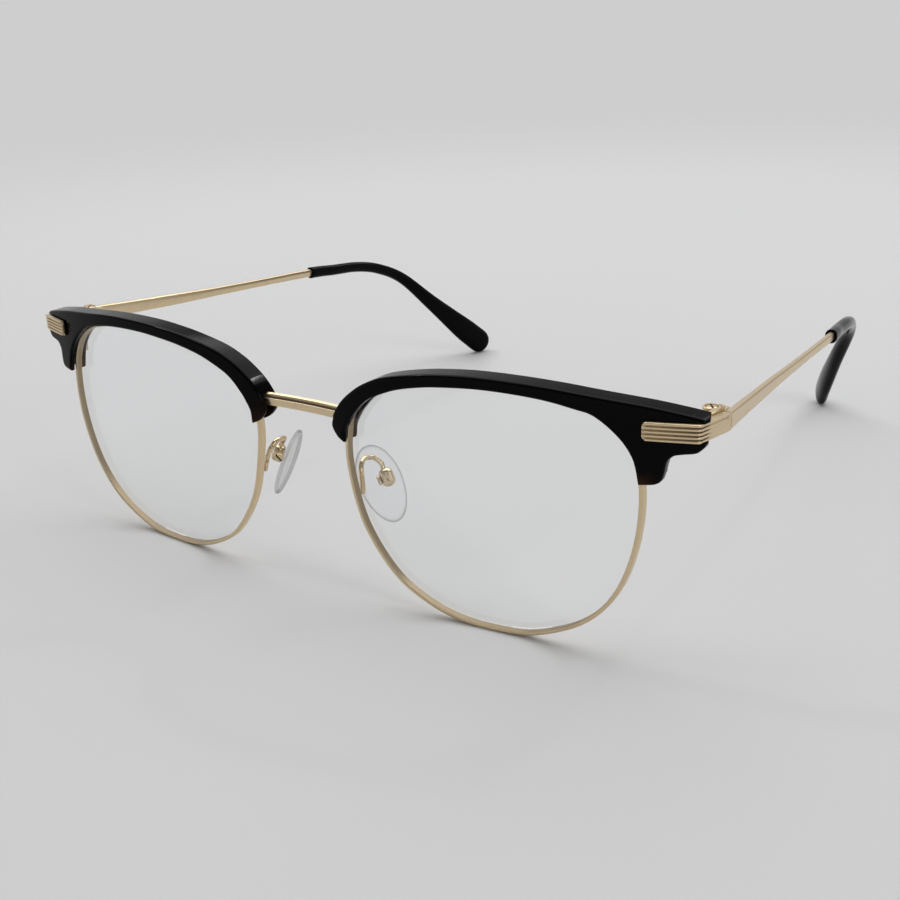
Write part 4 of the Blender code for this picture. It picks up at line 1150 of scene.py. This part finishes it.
TEMPLE_ROUTE_SHARES = (
    (0.0, 0.0, 0.0), (0.212, 0.100, 0.0615), (0.384, 0.160, 0.105), (0.559, 0.216, 0.148),
    (0.625, 0.262, 0.172), (0.698, 0.304, 0.200), (0.762, 0.367, 0.258), (0.828, 0.473, 0.380),
    (0.893, 0.686, 0.622), (0.959, 0.889, 0.862), (1.0, 1.0, 1.0),
)


def hinge_half(wall, lean, leaf, way, cleared, drop=0.0):
    near = HINGE_INSET - wall - BRAZED_GAP
    far = near - lean * leaf
    turn = 2 * math.pi - math.acos((near - LEAF_THICKNESS) / BARREL_RADIUS)
    outline = [Vector((far, -leaf)), Vector((near, 0))]
    for step in range(BARREL_STEPS + 1):
        angle = turn * step / BARREL_STEPS
        outline.append(BARREL_RADIUS * Vector((math.cos(angle), math.sin(angle))))
    outline.append(Vector((far - LEAF_THICKNESS, -leaf)))
    half = outlined(outline, BARREL_HEIGHT, HINGE_EDGE, 2)
    half = turned_out(moved(half, Matrix.Diagonal((1, -way, 1, 1))))
    tools = [rod(BARREL_RADIUS + SEAT_GAP, low, high) for low, high in cleared]
    tools.append(rod(HINGE_SCREW_RADIUS + SCREW_PLAY, -BARREL_HEIGHT, BARREL_HEIGHT))
    top = BARREL_HEIGHT / 2 - HINGE_SCREW_RECESS
    tools.append(rod(HINGE_SCREW_HEAD + SCREW_PLAY, top, BARREL_HEIGHT))
    if drop:
        low = (-BARREL_HEIGHT, BARREL_RADIUS + SEAT_GAP, BARREL_HEIGHT / 2 - drop)
        tools.append(box(low, (BARREL_HEIGHT, leaf + OVERRUN, BARREL_HEIGHT)))
    return shifted(carved(half, tools), *HINGE_POINT)


lean_front = SIDE_SPREAD / (SEAM_Y - corner_y())
first, second = TEMPLE_ROUTE_SHARES[:2]
lean_rear = (second[1] - first[1]) * TEMPLE_TOE_IN / ((second[0] - first[0]) * TEMPLE_RUN)
middle = MIDDLE_KNUCKLE / 2
free = middle + KNUCKLE_GAP
front_half = hinge_half(SIDE_THICKNESS, lean_front, FRONT_LEAF, -1, [(-free, free)])
rear_clear = [(middle, BARREL_HEIGHT), (-BARREL_HEIGHT, -middle)]
rear_half = hinge_half(TEMPLE_THICKNESS, lean_rear, REAR_LEAF, 1, rear_clear, REAR_LEAF_DROP)
for side, word in SIDES:
    for mesh, name, body in (
        (front_half, "_hinge_front", "front"), (rear_half, "_hinge_rear", word + "_arm"),
    ):
        half, node = mirrored(mesh.copy(), side), word + name
        hand_over(node + "_half", half, champagne, body, [node])

# %% [markdown]
# ## Temples and tips
# The temple starts as a flat bar and slims to a wire inside the tip. The tip is a sleeve that
# hooks over the ear and swells to a paddle. Both are lofts of rounded sections set along one
# route. The section is a superellipse, whose power goes from square to round along the way.
# Painted shade darkens the plating along the temple's shoulders, most of all on its inner side,
# so some of each section's numbered points carry a mark for it, which grows along the way.

# %% Sections along the route
TEMPLE_HEIGHT = 0.00295
TIP_WIDTH = 0.00240
TIP_HEIGHT = 0.00280
TIP_END_THICKNESS = 0.00300
TIP_SQUARENESS = 2.3
TIP_END_SQUARENESS = 2.5
TIP_START_SHARE = 0.559
CORE_END_SHARE = 0.920
BORE_END_SHARE = 0.945
BORE_GAP = 0.00015
TIP_LIP = 0.00010
TIP_LIP_SHARE = 0.10
STATION_STEPS = 10
TIP_END_STEPS = 12
TEMPLE_HEIGHT_SHARES = (
    (0.0, 1.0), (0.12, 0.90), (0.22, 0.81), (0.28, 0.70), (0.40, 0.62), (0.55, 0.64),
    (0.60, 0.60), (0.70, 0.48), (1.0, 0.40),
)
TEMPLE_THICKNESS_SHARES = ((0.0, 1.0), (0.20, 0.98), (0.40, 0.95), (0.60, 0.95), (1.0, 0.85))
TEMPLE_SQUARENESS_SHARES = ((0.0, 5.0), (0.08, 3.4), (0.30, 2.6), (1.0, 2.2))
TIP_HEIGHT_SHARES = (
    (0.0, 0.0), (0.25, -0.05), (0.42, -0.03), (0.55, 0.0), (0.65, 0.09), (0.74, 0.29),
    (0.84, 0.62), (0.93, 0.93), (1.0, 1.0),
)
TIP_WIDTH_SHARES = ((0.0, 0.0), (0.5, 0.2), (0.75, 0.8), (1.0, 1.0))
SECTION_POINTS = 40
# How dark the painted shade along the shoulders gets, by point of a section.
OUTER_SHOULDER_SHADE_SHARES = {4: 0.40, 5: 0.40}
INNER_SHOULDER_SHADE_SHARES = {14: 0.75, 15: 0.80, 16: 0.75, 17: 0.60, 18: 0.32}
INNER_SHADE_GROWTH_SHARES = ((0.0, 0.15), (0.12, 0.35), (0.30, 0.80), (0.45, 1.0), (1.0, 1.0))


def eased(table, place):
    """A table read along a smooth curve instead of straight between its rows."""
    places = [row[0] for row in table]
    for index in range(len(table) - 1):
        if place <= places[index + 1] or index == len(table) - 2:
            span = places[index + 1] - places[index]
            t = min(max((place - places[index]) / span, 0.0), 1.0)
            before = table[max(index - 1, 0)]
            after = table[min(index + 2, len(table) - 1)]
            start, end = table[index][1], table[index + 1][1]
            rise = (end - before[1]) / (places[index + 1] - before[0]) * span
            fall = (after[1] - start) / (after[0] - places[index]) * span
            square, cube = t * t, t * t * t
            return (
                (2 * cube - 3 * square + 1) * start + (cube - 2 * square + t) * rise
                + (3 * square - 2 * cube) * end + (cube - square) * fall
            )


def stations(steps):
    start = Vector((BROW_END_X - TEMPLE_THICKNESS / 2, SEAM_Y + SEAM_GAP / 2, SEAM_Z))
    drop = SEAM_Z - TIP_END_LIFT
    shares = curve_through([Vector(row) for row in TEMPLE_ROUTE_SHARES], steps)
    points = [
        start + Vector((-b * TEMPLE_TOE_IN, a * TEMPLE_RUN, -c * drop)) for a, b, c in shares
    ]
    ways = [(after - before).normalized() for before, after in zip(points, points[2:])]
    ways = [Vector((0, 1, 0))] + ways + [(points[-1] - points[-2]).normalized()]
    return list(zip([share.x for share in shares], points, ways))


def section_ring(point, way, width, height, power):
    up = (Vector((0, 0, 1)) - way.z * way).normalized()
    beside = way.cross(up)
    ring = []
    for step in range(SECTION_POINTS):
        angle = 2 * math.pi * (step + 0.5) / SECTION_POINTS
        a = math.copysign(abs(math.cos(angle)) ** (2 / power), math.cos(angle))
        b = math.copysign(abs(math.sin(angle)) ** (2 / power), math.sin(angle))
        ring.append(point + width / 2 * a * beside + height / 2 * b * up)
    return ring


def temple_ring(place, point, way, gap):
    height = TEMPLE_HEIGHT * eased(TEMPLE_HEIGHT_SHARES, place) + 2 * gap
    width = TEMPLE_THICKNESS * eased(TEMPLE_THICKNESS_SHARES, place) + 2 * gap
    return section_ring(point, way, width, height, eased(TEMPLE_SQUARENESS_SHARES, place))


# %% Both temples
def make_temple():
    rows = [row for row in stations(STATION_STEPS) if row[0] <= CORE_END_SHARE]
    # Painted shade along the shoulders, growing along the way on the inner side.
    marks = []
    for share, _, _ in rows:
        growth = value_at(INNER_SHADE_GROWTH_SHARES, share)
        for place in range(SECTION_POINTS):
            inner = INNER_SHOULDER_SHADE_SHARES.get(place, 0.0) * growth
            marks.append(OUTER_SHOULDER_SHADE_SHARES.get(place, inner))
    return marked(loft([temple_ring(*row, 0) for row in rows]), "painted_shade_and_pits", marks)


def make_tip():
    rows = [row for row in stations(STATION_STEPS) if row[0] >= TIP_START_SHARE - WELD]
    bore = [temple_ring(*row, BORE_GAP) for row in rows if row[0] <= BORE_END_SHARE]
    outside = []
    end_height = 2 * TIP_END_RADIUS
    for place, point, way in rows:
        share = (place - TIP_START_SHARE) / (1 - TIP_START_SHARE)
        height = TIP_HEIGHT + (end_height - TIP_HEIGHT) * eased(TIP_HEIGHT_SHARES, share)
        width = TIP_WIDTH + (TIP_END_THICKNESS - TIP_WIDTH) * eased(TIP_WIDTH_SHARES, share)
        outside.append(section_ring(point, way, width, height, TIP_SQUARENESS))
    mouth = [point.lerp(rows[0][1], TIP_LIP_SHARE) for point in outside[0]]
    outside[0] = [point + TIP_LIP * rows[0][2] for point in outside[0]]
    power = 2 / TIP_END_SQUARENESS
    for step in range(1, TIP_END_STEPS):
        angle = step / TIP_END_STEPS * math.pi / 2
        centre = point + TIP_END_LENGTH * math.sin(angle) ** power * way
        height = end_height * math.cos(angle) ** power
        width = TIP_END_THICKNESS * math.sqrt(math.cos(angle))
        outside.append(section_ring(centre, way, width, height, TIP_SQUARENESS))
    return loft(bore[::-1] + [mouth] + outside)


temple_mesh, tip_mesh = make_temple(), make_tip()
for side, word in SIDES:
    body = word + "_arm"
    temple = mirrored(temple_mesh.copy(), side)
    nodes = [word + "_temple"]
    hand_over(word + "_side_arm", temple, champagne, body, nodes, 70)
    tip = mirrored(tip_mesh.copy(), side)
    hand_over(word + "_ear_tip", tip, acetate, body, [word + "_temple_tip"], 50)

# %% [markdown]
# ## Nose pads
# Each pad is a flattened oval of clear plastic with a stem that stands in a small metal box. A
# wire from the back of the rim carries the box in a loop. The pad's own frame has X along its
# screw, Y down its length and Z towards the nose.

# %% Where each pad stands
PAD_LENGTH = 0.01450
PAD_WIDTH = 0.00780
PAD_THICKNESS = 0.00180
PAD_ASIDE = 0.00110
PAD_INSET = 0.00092
PAD_BEHIND = 0.00795
PAD_BELOW = 0.00258
PAD_TAPER_SHARE = 0.060
PAD_FULLNESS = 0.7
PAD_FLARE = math.radians(28.0)
PAD_FORWARD = math.radians(3.0)
PAD_SPLAY = math.radians(43.0)
PAD_GAP = 0.00040
PAD_ROUND_STEPS, PAD_RING_STEPS = 56, 32
PAD_RIM_SHADE_SHARES = ((0.0, 0.0), (0.90, 0.0), (0.93, 0.15), (0.96, 0.60), (0.985, 1.0), (1.1, 1.0))
STEM_WIDTH = 0.00100
STEM_LENGTH = 0.00130
STEM_END = 0.00065
STEM_CORNER = 0.00030
STEM_EDGE = 0.00010
PIVOT_DEPTH = 0.00075
BOX_WIDTH = 0.00250
BOX_LENGTH = 0.00340
BOX_DEPTH = 0.00190
BOX_LIFT = 0.00077
BOX_ROUND = 0.00115
BOX_LIP = 0.00012
BOX_DOME = 0.00085
BOX_DOME_STEPS, BOX_CORNER_STEPS = 9, 9
POCKET_HALF_WIDTH = 0.00065
POCKET_HALF_LENGTH = 0.00100
POCKET_DEPTH = 0.00160
WIRE_SINK = 0.00030
PAD_SCREW_RADIUS = 0.00032
ARM_RADIUS = 0.00045
ARM_FOOT_SHARE = -0.100
ARM_REACH = Vector((-0.00135, 0.00540, 0.00560))
ARM_DROP = 0.00090
ARM_STEPS = 10
ARM_ROUTE_SHARES = (
    (0.0, 0.0, 0.0), (0.12, 0.07, 0.24), (0.46, 0.15, 0.60), (0.80, 0.29, 0.83),
    (0.97, 0.51, 0.95), (0.87, 0.74, 0.91), (0.70, 0.92, 0.86),
)


def pad_place():
    down = -math.sqrt(1 - math.sin(PAD_FLARE) ** 2 - math.sin(PAD_FORWARD) ** 2)
    along = Vector((math.sin(PAD_FLARE), -math.sin(PAD_FORWARD), down))
    inward = Vector((-1, 0, 0))
    inward = (inward - inward.dot(along) * along).normalized()
    facing = math.cos(PAD_SPLAY) * inward + math.sin(PAD_SPLAY) * along.cross(inward)
    beside = along.cross(facing)
    point = Vector((NOSE_GAP / 2 + PAD_INSET, LENS_Y + PAD_BEHIND, LENS_Z - PAD_BELOW))
    point += PAD_ASIDE * beside
    turn = Matrix((beside, along, facing)).transposed()
    return Matrix.Translation(point) @ turn.to_4x4()


BOX_FRONT = -PAD_THICKNESS / 2 - PAD_GAP
PIVOT = Vector((0, -BOX_LIFT, BOX_FRONT - PIVOT_DEPTH))
print("pad pivot in mm:", [round(1000 * part, 3) for part in pad_place() @ PIVOT])


# %% Pads, boxes and wires
def rounded_box(width, length, radius, steps=5):
    points = []
    for sign_x, sign_y, start in ((1, 1, 0), (-1, 1, 90), (-1, -1, 180), (1, -1, 270)):
        centre = Vector((sign_x * (width / 2 - radius), sign_y * (length / 2 - radius)))
        for step in range(steps + 1):
            angle = math.radians(start + 90 * step / steps)
            points.append(centre + radius * Vector((math.cos(angle), math.sin(angle))))
    return points


def make_pad():
    form = bmesh.new()
    bmesh.ops.create_uvsphere(
        form, u_segments=PAD_ROUND_STEPS, v_segments=PAD_RING_STEPS, radius=1
    )
    for vertex in form.verts:
        x, y, z = vertex.co
        half_width = (1 - PAD_TAPER_SHARE * y) * PAD_WIDTH / 2
        z = math.copysign(abs(z) ** PAD_FULLNESS, z)
        vertex.co = (x * half_width - PAD_ASIDE, y * PAD_LENGTH / 2, z * PAD_THICKNESS / 2)
    pad = poured(form, bpy.data.meshes.new("pad"))
    height = STEM_END - PIVOT.z
    stem = outlined(rounded_box(STEM_WIDTH, STEM_LENGTH, STEM_CORNER), height, STEM_EDGE, 2)
    stem = shifted(stem, 0, PIVOT.y, -height / 2)
    pad = carved(carved(pad, [stem], "UNION"), [pad_bore()])
    # Painted shade at the pad's outer edge.
    marks = []
    for vertex in pad.vertices:
        y = 2 * vertex.co.y / PAD_LENGTH
        x = 2 * (vertex.co.x + PAD_ASIDE) / ((1 - PAD_TAPER_SHARE * y) * PAD_WIDTH)
        marks.append(value_at(PAD_RIM_SHADE_SHARES, math.hypot(x, y)))
    return marked(pad, "rim", marks)


def pad_bore():
    bore = rod(PAD_SCREW_RADIUS + SCREW_PLAY, -BOX_WIDTH, BOX_WIDTH)
    return moved(bore, turned_to(Vector((1, 0, 0)), PIVOT))


def make_pad_box():
    rings = []
    levels = [(0.0, BOX_LIP), (BOX_LIP, 0.0), (BOX_DEPTH / 2, 0.0)]
    for step in range(1, BOX_DOME_STEPS + 1):
        angle = math.radians(90 * step / BOX_DOME_STEPS)
        rise = BOX_DEPTH / 2 * math.sin(angle)
        levels.append((BOX_DEPTH / 2 + rise, BOX_DOME * (1 - math.cos(angle))))
    for level, pinch in levels:
        sizes = BOX_WIDTH - 2 * pinch, BOX_LENGTH - 2 * pinch, BOX_ROUND - pinch
        flat = rounded_box(*sizes, BOX_CORNER_STEPS)
        rings.append([Vector((p.x, p.y - BOX_LIFT, BOX_FRONT - level)) for p in flat])
    body = turned_out(loft(rings))
    low = (-POCKET_HALF_WIDTH, -BOX_LIFT - POCKET_HALF_LENGTH, BOX_FRONT - POCKET_DEPTH)
    pocket = box(low, (POCKET_HALF_WIDTH, POCKET_HALF_LENGTH - BOX_LIFT, 0))
    return carved(body, [pocket, pad_bore()])


def arm_path():
    height = LENS_Z + ARM_FOOT_SHARE * HALF_HEIGHT
    nasal = sorted((point.y, point.x) for point in rim_path() if point.x < LENS_X)
    foot = Vector((value_at(nasal, height), height))
    start = Vector((foot.x, face_y(*foot) + RIM_DEPTH / 2 + BRAZED_GAP + ARM_RADIUS, foot.y))
    route = [start + Vector(row) * ARM_REACH for row in ARM_ROUTE_SHARES]
    top = Vector((0, -BOX_LIFT - BOX_LENGTH / 2 - BRAZED_GAP, BOX_FRONT - BOX_DEPTH / 2))
    route.append(pad_place() @ (top - Vector((0, ARM_DROP, 0))))
    return curve_through(route, ARM_STEPS) + [pad_place() @ (top + Vector((0, WIRE_SINK, 0)))]


pad_mesh = moved(make_pad(), pad_place())
box_mesh = moved(make_pad_box(), pad_place())
wire = swept_bar(line_curve([arm_path()]), 2 * ARM_RADIUS, 2 * ARM_RADIUS, ARM_RADIUS, polished)
for side, word in SIDES:
    pad = mirrored(pad_mesh.copy(), side)
    nodes = [word + "_nose_pad"]
    hand_over(word + "_clear_pad", pad, pad_clear, word + "_pad", nodes, 50)
    for mesh, name, node in (
        (box_mesh, "_pad_clamp", "_pad_box"), (wire, "_pad_wire", "_guard_arm"),
    ):
        piece = mirrored(mesh.copy(), side)
        hand_over(word + name, piece, polished, "front", [word + node], 45)

# %% [markdown]
# ## Screws
# Eight small screws hold the frame together, four a side. A head and a shank of unit size are
# the pattern, and a Geometry Nodes tree sets them on points that carry each screw's direction
# and sizes.

# %% One head and one shank
HEAD_SHARES = ((1, 0), (1, 0.55), (0.96, 0.78), (0.86, 0.93), (0.70, 1), (0.35, 1))
HEAD_STEPS, SHANK_STEPS = 40, 32
SLOT_HALF_SHARE = 0.20
SLOT_FLOOR_SHARE = 0.40
SHANK_LAP_SHARE = 0.02


def make_head():
    """A head of radius 1 and height 1 with a softened edge and a slot."""
    turns = [2 * math.pi * step / HEAD_STEPS for step in range(HEAD_STEPS)]
    rings = [
        [Vector((radius * math.cos(turn), radius * math.sin(turn), height)) for turn in turns]
        for radius, height in HEAD_SHARES
    ]
    slot = box((-2, -SLOT_HALF_SHARE, SLOT_FLOOR_SHARE), (2, SLOT_HALF_SHARE, 2))
    head = carved(loft(rings), [slot])
    # The slot's floor is darkened with painted shade.
    marks = []
    for vertex in head.vertices:
        between = abs(vertex.co.y) < 1.05 * SLOT_HALF_SHARE
        marks.append(float(between and abs(vertex.co.z - SLOT_FLOOR_SHARE) < 0.05))
    return marked(head, "painted_shade_and_pits", marks)


def make_shank():
    return rod(1, -1, SHANK_LAP_SHARE, SHANK_STEPS)


# %% The screw tree
def make_screw_tree():
    tree, nodes, given = new_tree(
        "set_screws", Geometry="Geometry", Head="Object", Shank="Object", Finish="Material"
    )
    points = nodes.add("GeometryNodeMeshToPoints", {}, {"Mesh": given.out("Geometry")})

    def carried(name, kind):
        return nodes.add("GeometryNodeInputNamedAttribute", {"data_type": kind}, {"Name": name})

    turn = carried("turn", "QUATERNION")
    both = nodes.add("GeometryNodeJoinGeometry")
    for label in ("Head", "Shank"):
        shape = nodes.add("GeometryNodeObjectInfo", {}, {"Object": given.out(label)})
        placed = nodes.add("GeometryNodeInstanceOnPoints", {}, {
            "Points": points, "Instance": shape.out("Geometry"), "Rotation": turn,
            "Scale": carried(label.lower(), "FLOAT_VECTOR"),
        })
        tree.links.new(placed.socket, both.node.inputs[0])
    end_tree(nodes, both, given.out("Finish"))
    return tree


# %% Every screw in its place
SLOT_TURN = math.radians(-57)
BROW_SCREW_SHARES = (1.190, 0.826)
LOCK_SCREW_SHARE = 1.058
LOCK_SCREW_BEHIND = 0.00104
BROW_SCREW_SIZES = ((0.00095, 0.00040), (0.00055, 0.00360))
LOCK_SCREW_SIZES = ((0.00075, 0.00040), (0.00042, 0.00320))
HINGE_SCREW_SIZES = ((HINGE_SCREW_HEAD, 0.00025), (HINGE_SCREW_RADIUS, 0.00325))
PAD_SCREW_SIZES = ((0.00090, 0.00040), (PAD_SCREW_RADIUS, 0.00262))


def face_normal(x, z):
    slope_x = math.tan(FACE_WRAP) + (x - LENS_X) / FACE_RADIUS
    slope_z = math.tan(FACE_TILT) + (z - LENS_Z) / FACE_RADIUS
    return Vector((-slope_x, 1, -slope_z)).normalized()


def screw_rows():
    """Each screw's place, its head's direction, and the sizes of its head and shank."""
    spot = front_points((BROW_SCREW_SHARES,))[0]
    depth = LUG_FACE + LUG_THICKNESS + BRAZED_GAP
    brow = Vector((spot.x, face_y(*spot) + depth, spot.y))
    foot = LOCK_FOOT - BRAZED_GAP
    lock_x = LENS_X + LOCK_SCREW_SHARE * HALF_WIDTH
    lock = Vector((lock_x, face_y(lock_x, foot) + LOCK_SCREW_BEHIND, foot))
    top = HINGE_Z + BARREL_HEIGHT / 2 - HINGE_SCREW_RECESS + KNUCKLE_GAP
    hinge = Vector((HINGE_X, HINGE_Y, top))
    seat = pad_place() @ (PIVOT - Vector((BOX_WIDTH / 2 + BRAZED_GAP, 0, 0)))
    beside = pad_place().to_3x3() @ Vector((-1, 0, 0))
    return (
        (brow, face_normal(*spot), *BROW_SCREW_SIZES),
        (lock, Vector((0, 0, -1)), *LOCK_SCREW_SIZES),
        (hinge, Vector((0, 0, 1)), *HINGE_SCREW_SIZES),
        (seat, beside, *PAD_SCREW_SIZES),
    )


def make_screws(side):
    cloud = bpy.data.meshes.new("screws")
    rows = screw_rows()
    cloud.from_pydata([(side * row[0].x, row[0].y, row[0].z) for row in rows], [], [])
    for name, kind in (("turn", "QUATERNION"), ("head", "FLOAT_VECTOR"), ("shank", "FLOAT_VECTOR")):
        cloud.attributes.new(name, kind, "POINT")
    for index, (_, way, (wide, tall), (thick, long)) in enumerate(rows):
        turned = Vector((side * way.x, way.y, way.z)).to_track_quat("Z", "Y")
        turned = turned @ Quaternion((0, 0, 1), SLOT_TURN)
        cloud.attributes["turn"].data[index].value = turned
        cloud.attributes["head"].data[index].vector = (wide, wide, tall)
        cloud.attributes["shank"].data[index].vector = (thick, thick, long)
    return cloud


SCREW_TREE = make_screw_tree()
for side, word in SIDES:
    head, shank = linked("head", make_head()), linked("shank", make_shank())
    values = {"Head": head, "Shank": shank, "Finish": champagne}
    screws = with_tree(SCREW_TREE, linked("screws", make_screws(side)), values, head, shank)
    names = [word + "_brow_screw", word + "_lock_screw", word + "_hinge_screw", word + "_pad_screw"]
    hand_over(word + "_screws", screws, champagne, "front", names, 40)

# %% [markdown]
# ## Rim locks
# The two halves of each rim lock are small blocks behind the brow's leg. Their CAD shape is
# right as it is, so the nodes stay and only take a plating darkened all over with painted shade.

# %% Plating on the locks
locks = [word + half for _, word in SIDES for half in ("_lock_lower", "_lock_upper")]
for name in locks:
    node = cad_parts[name]
    node.data.materials.clear()
    node.data.materials.append(shaded_locks_finish)
print("nodes that stay:", locks)

# %% [markdown]
# ## Table, lamps and camera
# The photograph is a plain studio shot on pale grey paper with no edge in sight. The table is one
# large sheet. Away from the frame its paper turns into the even grey of the backdrop, but only
# for the camera and for what metal and glass mirror, so that no extra light falls on the frame.
# The room has that grey at its horizon and a dim ceiling, because bright metal needs something
# dark to mirror. A wide softbox hangs above and behind, and three small lamps add glints: one of
# them stands where the far brow's upper face mirrors it. The camera repeats the photograph's:
# its place and turn were fitted to points of the frame.

# %% The pale table
BACKDROP = (0.617, 0.617, 0.617)
PAPER_DARK = (0.592, 0.592, 0.594)
PAPER_LIGHT = (0.608, 0.608, 0.608)
PAPER_RELIEF = 0.00002
TABLE_SIZE = 3.0
EVEN_FROM, EVEN_TO = 0.28, 0.80


def make_paper():
    material, nodes = new_finish("grey_paper")
    where = nodes.place()
    tooth = nodes.noise(where, 900, 3.0)
    shade = nodes.blend(nodes.noise(where, 3, 2.0), PAPER_DARK, PAPER_LIGHT)
    sheet = nodes.add("ShaderNodeBsdfPrincipled", {}, {
        "Base Color": shade, "Roughness": 0.62 + 0.1 * tooth, "Specular IOR Level": 0.2,
        "Normal": nodes.bump(tooth, PAPER_RELIEF, 0.3),
    })
    even = nodes.add("ShaderNodeEmission", {}, {"Color": (*BACKDROP, 1)})
    away = nodes.add("ShaderNodeVectorMath", {"operation": "LENGTH"}, {0: where}, out="Value")
    ray = nodes.add("ShaderNodeLightPath")
    seen = ray.out("Is Camera Ray") + ray.out("Is Glossy Ray") + ray.out("Is Transmission Ray")
    nodes.show_mix(nodes.ramp(away, EVEN_FROM, EVEN_TO) * seen.clamped(), sheet, even)
    return material


form = bmesh.new()
bmesh.ops.create_grid(form, x_segments=8, y_segments=8, size=TABLE_SIZE)
table = linked("table", poured(form, bpy.data.meshes.new("table")))
table.data.materials.append(make_paper())


# %% Lamps
MIDDLE = (0, 0, 0.02)
FRONT_MIDDLE = (0, -0.05, 0.02)
FAR_BROW = (-0.01, -0.07, 0.038)
LAMPS = (
    ("softbox", (-0.20, 0.45, 1.15), MIDDLE, (2.1, 1.6), 20.6),
    ("window", (0.80, -0.30, 0.55), FRONT_MIDDLE, (0.25, 0.25), 1.2),
    ("spark", (-0.70, -0.10, 0.80), FRONT_MIDDLE, (0.06, 0.06), 0.5),
    ("glint", (0.26, 0.61, 0.70), FAR_BROW, (0.03, 0.02), 0.3),
)
for name, place, target, size, watts in LAMPS:
    lamp = bpy.data.lights.new(name, "AREA")
    lamp.shape = "RECTANGLE"
    lamp.size, lamp.size_y = size
    lamp.energy = watts
    backwards = (Vector(place) - Vector(target)).normalized()
    linked(name, lamp).matrix_world = turned_to(backwards, Vector(place))
print("lamps and their watts:", [(row[0], row[-1]) for row in LAMPS])

# %% The room
CEILING = (0.16, 0.16, 0.165)
CEILING_FROM, CEILING_TO = 0.20, 0.60
room = bpy.data.worlds.new("room")
bpy.context.scene.world = room
room.use_nodes = True
nodes = Nodes(room.node_tree)
way = nodes.add("ShaderNodeTexCoord").out("Generated")
rise = nodes.add("ShaderNodeSeparateXYZ", {}, {"Vector": way}).out("Z")
air = nodes.blend(nodes.ramp(rise, CEILING_FROM, CEILING_TO), BACKDROP, CEILING)
air = nodes.add("ShaderNodeBackground", {}, {"Color": air, "Strength": 1.0})
nodes.add("ShaderNodeOutputWorld", {}, {"Surface": air})
bpy.context.scene.view_settings.view_transform = "Standard"

# %% The camera
CAMERA_PLACE = Vector((0.128496547, LENS_Y - 0.148322391, 0.100946757))
YAW, PITCH, ROLL = 0.583452348, 0.370640341, -0.0338958433
FOCAL_PIXELS, PICTURE_PIXELS, SENSOR = 1199.92647, 900, 36.0
NEAREST = 0.01


def camera_matrix():
    ahead = Vector((
        -math.sin(YAW) * math.cos(PITCH), math.cos(YAW) * math.cos(PITCH), -math.sin(PITCH),
    ))
    right = Vector((math.cos(YAW), math.sin(YAW), 0))
    down = right.cross(ahead)
    across = math.cos(ROLL) * right + math.sin(ROLL) * down
    up = -math.sin(ROLL) * right + math.cos(ROLL) * down
    turn = Matrix((across, up, -ahead)).transposed().to_4x4()
    return Matrix.Translation(CAMERA_PLACE) @ turn


lens = bpy.data.cameras.new("camera")
lens.sensor_width = SENSOR
lens.lens = FOCAL_PIXELS / PICTURE_PIXELS * SENSOR
lens.clip_start = NEAREST
camera = linked("camera", lens)
camera.matrix_world = camera_matrix()
bpy.context.scene.camera = camera
print("focal length in mm:", round(lens.lens, 2))
